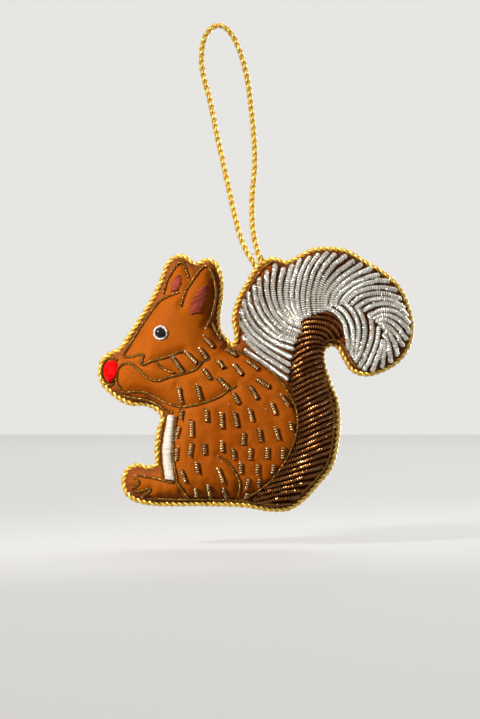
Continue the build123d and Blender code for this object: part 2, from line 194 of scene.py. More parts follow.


# Coiled or wrapped metal: each strand a little different, tarnish in blotches, painted shade in the grooves and
# on the back of each wound turn
def metalCoil(name, colours, finish):
    material, tree, shader = newMaterial(name)
    spot = addNode(tree, "ShaderNodeTexCoord").outputs["Object"]
    strand = addNode(tree, "ShaderNodeAttribute", {"attribute_name": "strandShade"})
    crest = addNode(tree, "ShaderNodeAttribute", {"attribute_name": "crest"})
    blotch = addNode(tree, "ShaderNodeTexNoise", None, {
        "Vector": spot, "Scale": 1 / finish["blotch"], "Detail": 3.0})
    glitter = addNode(tree, "ShaderNodeTexNoise", None, {
        "Vector": spot, "Scale": 1 / finish["glitter"], "Detail": 1.0})
    mixed = mathNode(tree, "MULTIPLY_ADD", strand.outputs["Fac"], 0.45, blotch.outputs["Fac"])
    tone = colourRamp(tree, mixed, colours["dull"], colours["bright"], 0.35)
    # painted shade: away from the crests the colour goes over to the groove colour
    paintedShadePower = mathNode(tree, "POWER", crest.outputs["Fac"], finish["paintedShadePower"])
    depth = mixColour(tree, paintedShadePower, linear(colours["groove"]), tone)
    tree.links.new(depth, shader.inputs["Base Color"])
    rough = addNode(tree, "ShaderNodeMapRange", None, {
        "Value": glitter.outputs["Fac"], 1: 0.35, 2: 0.65, 3: finish["smooth"], 4: finish["rough"]})
    tree.links.new(rough.outputs["Result"], shader.inputs["Roughness"])
    addRelief(tree, shader, glitter.outputs["Fac"], 0.5, finish["relief"])
    shader.inputs["Metallic"].default_value = finish["metallic"]
    shader.inputs["Coat Weight"].default_value = finish["film"]
    shader.inputs["Coat Roughness"].default_value = 0.22
    return material


# Stranded embroidery thread: a silky line along each stitch, every stitch a shade apart
def silkThread(name, colours, sheen):
    material, tree, shader = newMaterial(name)
    spot = addNode(tree, "ShaderNodeTexCoord").outputs["Object"]
    strand = addNode(tree, "ShaderNodeAttribute", {"attribute_name": "strandShade"})
    fibre = addNode(tree, "ShaderNodeTexNoise", None, {
        "Vector": spot, "Scale": 1 / (0.35 * mm), "Detail": 3.0})
    mixed = mathNode(tree, "MULTIPLY_ADD", strand.outputs["Fac"], 0.5, fibre.outputs["Fac"])
    tone = colourRamp(tree, mixed, colours["deep"], colours["bright"], 0.35)
    tree.links.new(tone, shader.inputs["Base Color"])
    addRelief(tree, shader, fibre.outputs["Fac"], 0.3, 0.05 * mm)
    shader.inputs["Roughness"].default_value = 0.5
    shader.inputs["Specular IOR Level"].default_value = 0.08
    shader.inputs["Sheen Weight"].default_value = sheen
    return material


# Spun polyester filling: matt white tangled fibre
def spunFibre():
    material, tree, shader = newMaterial("spunPolyesterFibre")
    spot = addNode(tree, "ShaderNodeTexCoord").outputs["Object"]
    tangle = addNode(tree, "ShaderNodeTexNoise", None, {
        "Vector": spot, "Scale": 1 / (1.5 * mm), "Detail": 6.0, "Distortion": 2.0})
    tone = colourRamp(tree, tangle.outputs["Fac"], "#D8D5CE", "#F6F4EF")
    tree.links.new(tone, shader.inputs["Base Color"])
    addRelief(tree, shader, tangle.outputs["Fac"], 0.8, 0.3 * mm)
    shader.inputs["Roughness"].default_value = 0.95
    return material


# Pressed black glass: deep, near mirror smooth, faint waviness from the mould
def blackGlass():
    material, tree, shader = newMaterial("blackGlassBead")
    spot = addNode(tree, "ShaderNodeTexCoord").outputs["Object"]
    wave = addNode(tree, "ShaderNodeTexNoise", None, {"Vector": spot, "Scale": 1 / (1.2 * mm)})
    tone = colourRamp(tree, wave.outputs["Fac"], "#050505", "#17130F")
    tree.links.new(tone, shader.inputs["Base Color"])
    addRelief(tree, shader, wave.outputs["Fac"], 0.1, 0.1 * mm)
    shader.inputs["Roughness"].default_value = 0.03
    shader.inputs["Specular IOR Level"].default_value = 0.3
    return material


# seam and under are the colours of painted shade, beside the seam and between the strands
cottonFront = wovenCotton("rustSatinCotton", {
    "deep": "#B65606", "bright": "#C96610", "seam": "#7A4228", "under": "#1C0B03"}, {
    "thread": 0.3 * mm, "mottle": 14 * mm, "slub": 0.8 * mm, "relief": 0.04 * mm})
cottonBack = wovenCotton("rustPlainCotton", {
    "deep": "#A84E08", "bright": "#BE6010", "seam": "#7A4228", "under": "#1C0B03"}, {
    "thread": 0.45 * mm, "mottle": 18 * mm, "slub": 1.1 * mm, "relief": 0.07 * mm})
# groove is the colour of painted shade, and the power on the crest sets how far it spreads up from the grooves
gildedCord = metalCoil("gildedThreadCord", {
    "dull": "#EDAE1E", "bright": "#FFDC58", "groove": "#BC8212"}, {
    "blotch": 2.0 * mm, "glitter": 0.35 * mm, "smooth": 0.16, "rough": 0.36, "relief": 0.05 * mm,
    "paintedShadePower": 1.0, "metallic": 0.5, "film": 0.8})
silverCoil = metalCoil("silverPurlCoil", {
    "dull": "#DAD0C0", "bright": "#FFFCF2", "groove": "#5A5040"}, {
    "blotch": 4.0 * mm, "glitter": 0.4 * mm, "smooth": 0.06, "rough": 0.3, "relief": 0.45 * mm,
    "paintedShadePower": 0.65, "metallic": 0.9, "film": 0.0})
bronzeCoil = metalCoil("bronzePurlCoil", {
    "dull": "#74401C", "bright": "#C88448", "groove": "#080200"}, {
    "blotch": 3.0 * mm, "glitter": 0.4 * mm, "smooth": 0.12, "rough": 0.32, "relief": 0.1 * mm,
    "paintedShadePower": 1.8, "metallic": 1.0, "film": 0.0})
furCoil = metalCoil("antiqueGoldPurlCoil", {
    "dull": "#4A2A10", "bright": "#FFCA84", "groove": "#120601"}, {
    "blotch": 1.6 * mm, "glitter": 0.5 * mm, "smooth": 0.14, "rough": 0.34, "relief": 0.06 * mm,
    "paintedShadePower": 2.8, "metallic": 0.9, "film": 0.0})
brassCoil = metalCoil("antiqueBrassWireCoil", {
    "dull": "#553612", "bright": "#AC7C34", "groove": "#1A0B02"}, {
    "blotch": 5.0 * mm, "glitter": 0.4 * mm, "smooth": 0.14, "rough": 0.36, "relief": 0.03 * mm,
    "paintedShadePower": 1.5, "metallic": 1.0, "film": 0.0})
redSilk = silkThread("redSatinStitch", {"deep": "#CC0001", "bright": "#F80305"}, 0.01)
earSilk = silkThread("dustyRoseStitch", {"deep": "#6E2A1A", "bright": "#AE4E38"}, 0.02)
whiteSilk = silkThread("whiteSatinStitch", {"deep": "#D0C0AC", "bright": "#F4E8D8"}, 0.1)
goldSilk = silkThread("goldSewingThread", {"deep": "#B5800F", "bright": "#E8BC3A"}, 0.2)
pearlCoat = silkThread("pearlWhiteEyeRing", {"deep": "#A9ADA8", "bright": "#E4E6E2"}, 0.05)
fibre = spunFibre()
glass = blackGlass()
print("materials ready")


# Line tools
def evenLine(line, step):
    run = np.concatenate([[0], np.cumsum(np.linalg.norm(np.diff(line, axis=0), axis=1))])
    count = max(2, round(run[-1] / step) + 1)
    along = np.linspace(0, run[-1], count)
    return np.column_stack([np.interp(along, run, column) for column in line.T])


# Centripetal Catmull-Rom line through the points, evenly spaced
def smoothLine(points, step, closed=False):
    knots = np.asarray(points, float)
    first, last = 2 * knots[:1] - knots[1:2], 2 * knots[-1:] - knots[-2:-1]
    if closed:
        first, last = knots[-1:], knots[:2]
    knots = np.vstack([first, knots, last])
    share = np.linspace(0, 1, 17)[:-1, None]
    spans = []
    for p0, p1, p2, p3 in zip(knots, knots[1:], knots[2:], knots[3:]):
        t1 = np.linalg.norm(p1 - p0) ** 0.5
        t2 = t1 + np.linalg.norm(p2 - p1) ** 0.5
        t3 = t2 + np.linalg.norm(p3 - p2) ** 0.5
        t = t1 + (t2 - t1) * share
        a1 = (t1 - t) / t1 * p0 + t / t1 * p1
        a2 = (t2 - t) / (t2 - t1) * p1 + (t - t1) / (t2 - t1) * p2
        a3 = (t3 - t) / (t3 - t2) * p2 + (t - t2) / (t3 - t2) * p3
        b1 = (t2 - t) / t2 * a1 + t / t2 * a2
        b2 = (t3 - t) / (t3 - t1) * a2 + (t - t1) / (t3 - t1) * a3
        spans.append((t2 - t) / (t2 - t1) * b1 + (t - t1) / (t2 - t1) * b2)
    line = evenLine(np.vstack(spans + [knots[-2:-1]]), step)
    return line[:-1] if closed else line


def upright(line, depth=0.0):
    return np.column_stack([line[:, 0], np.full(len(line), depth), line[:, 1]])


def addObject(name, mesh):
    piece = bpy.data.objects.new(name, mesh)
    scene.collection.objects.link(piece)
    return piece


# Turns the evaluated object into a plain mesh and drops its modifiers
def plainMesh(piece):
    bpy.context.view_layer.update()
    evaluated = piece.evaluated_get(bpy.context.evaluated_depsgraph_get())
    mesh = bpy.data.meshes.new_from_object(evaluated)
    piece.modifiers.clear()
    old = piece.data
    piece.data = mesh
    bpy.data.meshes.remove(old)
    return piece


# Geometry Nodes: a tree with named inputs, ending in Realize Instances and Set Material
def newTree(name, sizes):
    tree = bpy.data.node_groups.new(name, "GeometryNodeTree")
    tree.interface.new_socket("Line", in_out="INPUT", socket_type="NodeSocketGeometry")
    for label, kind in sizes.items():
        tree.interface.new_socket(label, in_out="INPUT", socket_type=kind)
    tree.interface.new_socket("Material", in_out="INPUT", socket_type="NodeSocketMaterial")
    tree.interface.new_socket("Mesh", in_out="OUTPUT", socket_type="NodeSocketGeometry")
    given = addNode(tree, "NodeGroupInput").outputs
    return tree, given


def endTree(tree, given, mesh, smooth=True):
    shaded = addNode(tree, "GeometryNodeSetShadeSmooth", None, {"Geometry": mesh, "Shade Smooth": smooth})
    solid = addNode(tree, "GeometryNodeRealizeInstances", None, {"Geometry": shaded.outputs[0]})
    finished = addNode(tree, "GeometryNodeSetMaterial", None, {
        "Geometry": solid.outputs[0], "Material": given["Material"]})
    addNode(tree, "NodeGroupOutput", None, {"Mesh": finished.outputs[0]})


# Runs a tree on lines of points and keeps the plain mesh
def grow(name, lines, tree, sizes, material, closed=False):
    points = np.vstack(lines)
    edges = []
    start = 0
    for line in lines:
        edges += [(start + i, start + i + 1) for i in range(len(line) - 1)]
        if closed:
            edges.append((start + len(line) - 1, start))
        start += len(line)
    carrier = bpy.data.meshes.new(name)
    carrier.from_pydata(points.tolist(), edges, [])
    piece = addObject(name, carrier)
    modifier = piece.modifiers.new("grow", "NODES")
    modifier.node_group = tree
    given = {item.name: item.identifier for item in tree.interface.items_tree if item.in_out == "INPUT"}
    for label, value in sizes.items():
        modifier[given[label]] = value
    modifier[given["Material"]] = material
    return plainMesh(piece)


floatSocket = "NodeSocketFloat"
countSocket = "NodeSocketInt"
ribSteps = 4      # points along one rib of a coil
slowTwist = 1.0   # metres to a turn, so a coil hardly twists


# Coil of wire: a tube whose radius swells once a turn, with drawn-in ends
def ribbedCoilTree(name, smooth):
    tree, given = newTree(name, {
        "Diameter": floatSocket, "Rib Pitch": floatSocket, "Rib Depth": floatSocket,
        "Twist Length": floatSocket, "Sides": countSocket, "Seed": countSocket})
    line = addNode(tree, "GeometryNodeMeshToCurve", None, {"Mesh": given["Line"]})
    step = mathNode(tree, "DIVIDE", given["Rib Pitch"], ribSteps)
    even = addNode(tree, "GeometryNodeResampleCurve", {"mode": "LENGTH"}, {
        "Curve": line.outputs[0], "Length": step})
    along = addNode(tree, "GeometryNodeSplineParameter").outputs
    whole = addNode(tree, "GeometryNodeSplineLength").outputs["Length"]
    phase = mathNode(tree, "MULTIPLY", along["Index"], math.tau / ribSteps)
    swing = mathNode(tree, "COSINE", phase)
    groove = mathNode(tree, "MULTIPLY_ADD", swing, 0.5, 0.5)
    cut = mathNode(tree, "MULTIPLY", groove, given["Rib Depth"])
    rib = mathNode(tree, "SUBTRACT", 1.0, cut)
    # crest: 1 on a rib and 0 in its groove, where the metal's material paints shade
    crest = mathNode(tree, "SUBTRACT", 1.0, groove)
    left = mathNode(tree, "SUBTRACT", whole, along["Length"])
    near = mathNode(tree, "MINIMUM", along["Length"], left)
    reach = mathNode(tree, "DIVIDE", near, given["Diameter"])
    ends = addNode(tree, "ShaderNodeMapRange", {"interpolation_type": "SMOOTHSTEP"}, {
        "Value": reach, 1: 0.0, 2: 0.3, 3: 0.6, 4: 1.0})
    scale = mathNode(tree, "MULTIPLY", rib, ends.outputs[0])
    twist = mathNode(tree, "DIVIDE", along["Length"], given["Twist Length"])
    tilt = mathNode(tree, "MULTIPLY", twist, math.tau)
    tilted = addNode(tree, "GeometryNodeSetCurveTilt", None, {"Curve": even.outputs[0], "Tilt": tilt})
    shade = addNode(tree, "FunctionNodeRandomValue", {"data_type": "FLOAT"}, {
        "Seed": given["Seed"], "ID": addNode(tree, "GeometryNodeCurveOfPoint").outputs["Curve Index"]})
    shaded = storeShade(tree, tilted.outputs[0], "strandShade", shade.outputs[1])
    crested = storeShade(tree, shaded, "crest", crest)
    radius = mathNode(tree, "MULTIPLY", given["Diameter"], 0.5)
    ring = addNode(tree, "GeometryNodeCurvePrimitiveCircle", {"mode": "RADIUS"}, {
        "Resolution": given["Sides"], "Radius": radius})
    tube = addNode(tree, "GeometryNodeCurveToMesh", None, {
        "Curve": crested, "Profile Curve": ring.outputs["Curve"], "Scale": scale,
        "Fill Caps": True})
    endTree(tree, given, tube.outputs[0], smooth)
    return tree


# Purl: a fine wire wound round the line, each turn with a painted highlight on its front and painted shade
# behind
def woundPurlTree():
    tree, given = newTree("woundPurl", {
        "Diameter": floatSocket, "Wire": floatSocket, "Turn Pitch": floatSocket, "Sides": countSocket,
        "Seed": countSocket})
    turnSteps = 12
    paintedHighlightStart, paintedHighlightFull = 0.2, -0.9  # a turn's lean to the front, in radii, where the painted highlight begins and is full
    line = addNode(tree, "GeometryNodeMeshToCurve", None, {"Mesh": given["Line"]})
    step = mathNode(tree, "DIVIDE", given["Turn Pitch"], turnSteps)
    even = addNode(tree, "GeometryNodeResampleCurve", {"mode": "LENGTH"}, {
        "Curve": line.outputs[0], "Length": step})
    steady = addNode(tree, "GeometryNodeSetCurveNormal", {"mode": "MINIMUM_TWIST"}, {"Curve": even.outputs[0]})
    along = addNode(tree, "GeometryNodeSplineParameter").outputs
    turn = mathNode(tree, "MULTIPLY", along["Index"], math.tau / turnSteps)
    room = mathNode(tree, "SUBTRACT", given["Diameter"], given["Wire"])
    radius = mathNode(tree, "MULTIPLY", room, 0.5)
    normal = addNode(tree, "GeometryNodeInputNormal").outputs[0]
    tangent = addNode(tree, "GeometryNodeInputTangent").outputs[0]
    side = addNode(tree, "ShaderNodeVectorMath", {"operation": "CROSS_PRODUCT"}, {0: tangent, 1: normal})
    shares = []
    for direction, wave in ((normal, "COSINE"), (side.outputs[0], "SINE")):
        swing = mathNode(tree, wave, turn)
        size = mathNode(tree, "MULTIPLY", swing, radius)
        share = addNode(tree, "ShaderNodeVectorMath", {"operation": "SCALE"}, {
            0: direction, "Scale": size})
        shares.append(share.outputs[0])
    offset = addNode(tree, "ShaderNodeVectorMath", {"operation": "ADD"}, {0: shares[0], 1: shares[1]})
    shade = addNode(tree, "FunctionNodeRandomValue", {"data_type": "FLOAT"}, {
        "Seed": given["Seed"], "ID": addNode(tree, "GeometryNodeCurveOfPoint").outputs["Curve Index"]})
    shaded = storeShade(tree, steady.outputs[0], "strandShade", shade.outputs[1])
    # painted light: the crest is 1 on the front of each turn and 0 behind, for the material's painted highlight
    # and shade
    forward = addNode(tree, "ShaderNodeSeparateXYZ", None, {0: offset.outputs[0]})
    lean = mathNode(tree, "DIVIDE", forward.outputs["Y"], radius)
    paintedShading = addNode(tree, "ShaderNodeMapRange", None, {
        "Value": lean, 1: paintedHighlightStart, 2: paintedHighlightFull, 3: 0.0, 4: 1.0})
    crested = storeShade(tree, shaded, "crest", paintedShading.outputs["Result"])
    wound = addNode(tree, "GeometryNodeSetPosition", None, {
        "Geometry": crested, "Offset": offset.outputs[0]})
    wireRadius = mathNode(tree, "MULTIPLY", given["Wire"], 0.5)
    ring = addNode(tree, "GeometryNodeCurvePrimitiveCircle", {"mode": "RADIUS"}, {
        "Resolution": given["Sides"], "Radius": wireRadius})
    tube = addNode(tree, "GeometryNodeCurveToMesh", None, {
        "Curve": wound.outputs[0], "Profile Curve": ring.outputs["Curve"], "Fill Caps": True})
    endTree(tree, given, tube.outputs[0])
    return tree


# Two-ply cord: a pair of round plies turned about the line
def twistedCordTree():
    tree, given = newTree("twistedCord", {
        "Diameter": floatSocket, "Lay": floatSocket, "Ply Share": floatSocket, "Sides": countSocket,
        "Steps": floatSocket})
    line = addNode(tree, "GeometryNodeMeshToCurve", None, {"Mesh": given["Line"]})
    step = mathNode(tree, "DIVIDE", given["Lay"], given["Steps"])
    even = addNode(tree, "GeometryNodeResampleCurve", {"mode": "LENGTH"}, {
        "Curve": line.outputs[0], "Length": step})
    steady = addNode(tree, "GeometryNodeSetCurveNormal", {"mode": "MINIMUM_TWIST"}, {"Curve": even.outputs[0]})
    along = addNode(tree, "GeometryNodeSplineParameter").outputs
    turns = mathNode(tree, "DIVIDE", along["Length"], given["Lay"])
    tilt = mathNode(tree, "MULTIPLY", turns, math.tau)
    tilted = addNode(tree, "GeometryNodeSetCurveTilt", None, {"Curve": steady.outputs[0], "Tilt": tilt})
    radius = mathNode(tree, "MULTIPLY", given["Diameter"], given["Ply Share"])
    half = mathNode(tree, "MULTIPLY", given["Diameter"], 0.5)
    reach = mathNode(tree, "SUBTRACT", half, radius)
    back = mathNode(tree, "MULTIPLY", reach, -1.0)
    ring = addNode(tree, "GeometryNodeCurvePrimitiveCircle", {"mode": "RADIUS"}, {
        "Resolution": given["Sides"], "Radius": radius})
    tubes = []
    for number, side in enumerate((reach, back)):
        shift = addNode(tree, "ShaderNodeCombineXYZ", None, {"X": side})
        ply = addNode(tree, "GeometryNodeTransform", None, {
            "Geometry": ring.outputs["Curve"], "Translation": shift.outputs[0]})
        # the ply's outer side is its crest, and where it lies on the other one is the groove, which the material
        # paints in shade
        spot = addNode(tree, "GeometryNodeInputPosition")
        parts = addNode(tree, "ShaderNodeSeparateXYZ", None, {0: spot.outputs[0]})
        outward = mathNode(tree, "DIVIDE", parts.outputs["X"], side)
        crest = addNode(tree, "ShaderNodeMapRange", None, {"Value": outward, 1: 0.0, 2: 1.2})
        crested = storeShade(tree, ply.outputs[0], "crest", crest.outputs[0])
        shaded = storeShade(tree, crested, "strandShade", float(number))
        tube = addNode(tree, "GeometryNodeCurveToMesh", None, {
            "Curve": tilted.outputs[0], "Profile Curve": shaded, "Fill Caps": True})
        tubes.append(tube.outputs[0])
    both = addNode(tree, "GeometryNodeJoinGeometry", None, {0: tubes[0]})
    tree.links.new(tubes[1], both.inputs[0])
    endTree(tree, given, both.outputs[0])
    return tree


# Thread ends: a small squashed knot at each point
def threadKnotTree():
    tree, given = newTree("threadKnots", {"Size": floatSocket, "Seed": countSocket})
    bead = addNode(tree, "GeometryNodeMeshIcoSphere", None, {"Radius": given["Size"], "Subdivisions": 2})
    shade = addNode(tree, "FunctionNodeRandomValue", {"data_type": "FLOAT"}, {"Seed": given["Seed"]})
    jitter = addNode(tree, "FunctionNodeRandomValue", {"data_type": "FLOAT_VECTOR"}, {
        0: (0.7, 0.6, 0.7), 1: (1.25, 0.9, 1.25), "Seed": given["Seed"]})
    shaded = storeShade(tree, given["Line"], "strandShade", shade.outputs[1])
    knots = addNode(tree, "GeometryNodeInstanceOnPoints", None, {
        "Points": shaded, "Instance": bead.outputs["Mesh"], "Scale": jitter.outputs[0]})
    endTree(tree, given, knots.outputs[0])
    return tree


coilTree = ribbedCoilTree("ribbedCoil", True)
facetTree = ribbedCoilTree("facetedCoil", False)
purlTree = woundPurlTree()
cordTree = twistedCordTree()
knotTree = threadKnotTree()
print("node trees ready")


# What each kind of tree is given, by the names of its inputs
def cordSizes(cord, width, lay):
    return {
        "Diameter": width, "Lay": lay, "Ply Share": cord["plyShare"], "Sides": cord["sides"],
        "Steps": cord["steps"]}


def purlSizes(family):
    return {
        "Diameter": family["diameter"], "Wire": family["wire"], "Turn Pitch": family["turnPitch"],
        "Sides": family["sides"], "Seed": family["seed"]}


def coilSizes(diameter, ribPitch, ribDepth, sides, seed):
    return {
        "Diameter": diameter, "Rib Pitch": ribPitch, "Rib Depth": ribDepth, "Twist Length": slowTwist,
        "Sides": sides, "Seed": seed}


# Hanging loop: its route as in the CAD model, (x, z) from its left root over the top to its right root
loop = {
    "diameter": 1.8 * mm,
    "twistWidth": 2.05 * mm,     # over both plies where they lie side by side
    "lay": 4.4 * mm,
    "plyShare": 0.32,
    "sides": 10,
    "steps": 16.0,               # along one lay
    "bendHeight": -75.5 * mm,    # the sewing thread crosses here, and the limp cord bends about it
    "route": [
        (12.5, -79.8), (9.6, -75.5), (7.17, -70.17), (5.67, -64.33), (3.5, -54.83), (1.17, -44),
        (-1.17, -33.67), (-3.17, -23), (-5.67, -14.67), (-6, -7.33), (-4.33, -1), (0, 1.83), (4, -1),
        (7.17, -7.67), (9.5, -16.33), (10.67, -25.67), (11.83, -37.67), (12.1, -45.67), (11, -55.67),
        (11, -64.67), (11.83, -71.4), (14.1, -78.6),
    ],
}


def routeLine(route):
    data = bpy.data.curves.new("loopRoute", "CURVE")
    data.dimensions = "3D"
    spline = data.splines.new("NURBS")
    spline.points.add(len(route) - 1)
    for point, (x, z) in zip(spline.points, route):
        point.co = (x * mm, 0, z * mm, 1)
    spline.order_u = 3
    spline.use_endpoint_u = True
    spline.resolution_u = 16
    guide = addObject("loopRoute", data)
    bpy.context.view_layer.update()
    mesh = bpy.data.meshes.new_from_object(guide.evaluated_get(bpy.context.evaluated_depsgraph_get()))
    line = np.array([vertex.co for vertex in mesh.vertices])
    bpy.data.objects.remove(guide)
    bpy.data.meshes.remove(mesh)
    return line


def lineLength(line):
    return float(np.linalg.norm(np.diff(line, axis=0), axis=1).sum())


# Parts a mesh at a height: the piece keeps what is above, and a new piece gets the rest
def partAt(piece, name, height):
    lower = addObject(name, piece.data.copy())
    for part, below in ((piece, False), (lower, True)):
        cut = bmesh.new()
        cut.from_mesh(part.data)
        bmesh.ops.bisect_plane(
            cut, geom=cut.verts[:] + cut.edges[:] + cut.faces[:], plane_co=(0, 0, height), plane_no=(0, 0, 1),
            clear_inner=not below, clear_outer=below)
        bmesh.ops.holes_fill(cut, edges=[edge for edge in cut.edges if edge.is_boundary], sides=0)
        cut.to_mesh(part.data)
        cut.free()
    return lower


loopLine = routeLine(loop["route"])
loopSizes = cordSizes(loop, loop["twistWidth"], loop["lay"])
loopCord = grow("hangingLoop", [loopLine], cordTree, loopSizes, gildedCord)
# the roots are sewn to the edge, so they ride with the figure
loopRoots = partAt(loopCord, "loopRoots", loop["bendHeight"])
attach(loopRoots, "squirrel")
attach(loopCord, "hanging_loop")
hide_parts("hanging_loop")

# Edge cord couched round the seam: centre line in pixels, clockwise from the nose
edge = {
    "diameter": 2.05 * mm,
    "lay": 3.9 * mm,
    "plyShare": 0.34,
    "sides": 10,
    "steps": 16.0,
    "step": 0.4 * mm,
    "pixels": [
        (103, 360.5), (110.5, 354), (120, 349.5), (132, 332.5), (151, 302.5), (161.5, 281.5), (168, 264.5),
        (175.5, 257.5), (183, 256.5), (196, 264.5), (208, 260), (216, 264.5), (220.5, 278), (221, 294),
        (218, 316), (219.5, 331.5), (227, 341), (233.5, 346), (237, 338.5), (234.5, 319), (238.5, 301.5),
        (248.5, 282.5), (258.5, 266.5), (266.5, 261), (276, 259.5), (285, 263), (296.5, 259), (310.5, 251.5),
        (326, 249), (347.5, 252), (362.5, 261), (385.5, 275), (399, 288.5), (407.5, 307.5), (411.5, 328),
        (407.5, 347), (397, 361), (380.5, 370.5), (366, 374), (353, 370), (345, 358.5), (338.5, 347),
        (330.5, 344), (323, 350), (322.5, 361), (328.5, 381.5), (336, 402), (338, 421), (335.5, 447.5),
        (330, 467), (317, 483.5), (302.5, 499), (288.5, 508), (270, 509), (246, 505), (200, 503.5),
        (160, 503.5), (138.5, 500.5), (127.5, 493.5), (124, 481), (128, 470), (137, 465.5), (149, 468),
        (157, 464.5), (157, 448), (159.5, 430), (163, 416.5), (158.5, 410), (147.5, 404), (128.5, 402.5),
        (113.5, 393.5), (103, 382.5), (100.5, 370),
    ],
}
rimLine = smoothLine([place(pixel) for pixel in edge["pixels"]], edge["step"], closed=True)
rimLength = lineLength(np.vstack([rimLine, rimLine[:1]]))
edgeLay = rimLength / round(rimLength / edge["lay"])  # whole turns, so the closed cord meets itself
edgeSizes = cordSizes(edge, edge["diameter"], edgeLay)
edgeCord = grow("edgeCord", [upright(rimLine)], cordTree, edgeSizes, gildedCord, closed=True)
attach(edgeCord, "squirrel")
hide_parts("edge_cord")
print("edge cord", round(rimLength, 4))

# Padded body: two covers sewn at the seam and filled until they swell
body = {
    "rimInset": 0.1 * mm,        # the covers' edges tuck under the cord
    "rimStep": 1.25 * mm,
    "meshStep": 1.35 * mm,
    "frontRise": 7.6 * mm,
    "backRise": 6.4 * mm,
    "edgeRoll": 5.2 * mm,        # how far in from the seam the padding takes to fill out
    "solveRounds": 1500,
    "clothThickness": 0.45 * mm,
    "simScale": 10,              # the solver works better on a larger copy
    "pressure": 4.0,
    "frames": 20,
    "ease": 0.012,               # spare cloth, which puckers a little at the seam
    "moveCap": 1.0 * mm,
    "fillInset": 1.1 * mm,
    "lumpWaves": (900, 1100),    # radians a metre, across and up
    "lumpTurn": 2,
    "lumpShare": 0.25,
    "lumpHeight": 0.6 * mm,
    "rimClearShare": 0.6,        # of the mesh step, between the rim and the grid inside it
    "dentFade": 2 * mm,          # depth over which the dents die out at the seam
    "puckerFade": 1 * mm,
    "seamWidth": 2.2 * mm,       # painted shade on the cloth beside the seam
    "seamShare": 0.85,           # how dark the painted shade is right at the seam
    "puckerDepth": 0.3 * mm,     # the seam's stitches gather the cloth
    "puckerPitch": 3.6 * mm,
    "puckerWidth": 2.4 * mm,
}


def insideOutline(points, outline):
    x, z = points[:, :1], points[:, 1:]
    x0, z0 = outline.T
    x1, z1 = np.roll(outline, -1, axis=0).T
    crosses = (z0 > z) != (z1 > z)
    run = np.where(z1 == z0, 1, z1 - z0)
    reach = x0 + (z - z0) / run * (x1 - x0)
    return (crosses & (x < reach)).sum(axis=1) % 2 == 1


def insetLine(line, distance):
    ahead = np.roll(line, -1, axis=0) - np.roll(line, 1, axis=0)
    ahead /= np.linalg.norm(ahead, axis=1)[:, None]
    return line + distance * np.column_stack([ahead[:, 1], -ahead[:, 0]])


# Triangles inside the outline on a hexagonal grid, worked in millimetres
def fillOutline(outline, step):
    low, high = outline.min(axis=0), outline.max(axis=0)
    rowStep = step * math.sqrt(3) / 2
    grid = np.array([
        (low[0] + (column + 0.5 * (row % 2)) * step, low[1] + row * rowStep)
        for row in range(int((high[1] - low[1]) / rowStep) + 1)
        for column in range(int((high[0] - low[0]) / step) + 1)
    ])
    grid = grid[insideOutline(grid, outline)]
    gaps = np.linalg.norm(grid[:, None, :] - outline[None, :, :], axis=2).min(axis=1)
    points = np.vstack([outline, grid[gaps > body["rimClearShare"] * step]]) / mm
    rim = list(range(len(outline)))
    verts, _, faces, _, _, _ = geometry.delaunay_2d_cdt(
        [Vector(point) for point in points], [], [rim], 1, 1e-5, True)
    verts = np.array([tuple(vert) for vert in verts]) * mm
    faces = np.array([tuple(face) for face in faces])
    faces = faces[insideOutline(verts[faces].mean(axis=1), outline)]  # the notches are left open
    return verts, [tuple(face) for face in faces.tolist()]


# Membrane over the outline: 0 at the seam and nearing 1 in the wide parts
def membrane(points, faces, rimCount, roll, step, rounds):
    pairs = np.array([(f[i], f[i - 1]) for f in faces for i in range(3)])
    pairs = np.unique(np.sort(pairs, axis=1), axis=0)
    first = np.concatenate([pairs[:, 0], pairs[:, 1]])
    second = np.concatenate([pairs[:, 1], pairs[:, 0]])
    degree = np.bincount(first, minlength=len(points))
    pull = 4 * roll * roll / (step * step)
    height = np.ones(len(points))
    for _ in range(rounds):
        around = np.bincount(first, weights=height[second], minlength=len(points)) / degree
        height = (pull * around + 1) / (pull + 1)
        height[:rimCount] = 0
    return height


# Blows the closed pair of covers up by cloth simulation on a larger copy, with the seam held
def inflate(points, faces, rimCount):
    mesh = bpy.data.meshes.new("inflating")
    mesh.from_pydata((points * body["simScale"]).tolist(), [], faces)
    pillow = addObject("inflating", mesh)
    pillow.vertex_groups.new(name="seam").add(list(range(rimCount)), 1.0, "REPLACE")
    cloth = pillow.modifiers.new("cloth", "CLOTH")
    cloth.settings.vertex_group_mass = "seam"
    cloth.settings.quality = 6
    cloth.settings.use_pressure = True
    cloth.settings.uniform_pressure_force = body["pressure"]
    cloth.settings.shrink_min = -body["ease"]
    cloth.settings.effector_weights.gravity = 0
    cloth.collision_settings.use_collision = False
    cloth.point_cache.frame_start = 1
    cloth.point_cache.frame_end = body["frames"]
    for number in range(1, body["frames"] + 1):
        scene.frame_set(number)
    evaluated = pillow.evaluated_get(bpy.context.evaluated_depsgraph_get())
    moved = np.array([vertex.co for vertex in evaluated.data.vertices]) / body["simScale"]
    bpy.data.objects.remove(pillow)
    bpy.data.meshes.remove(mesh)
    scene.frame_set(1)
    return moved


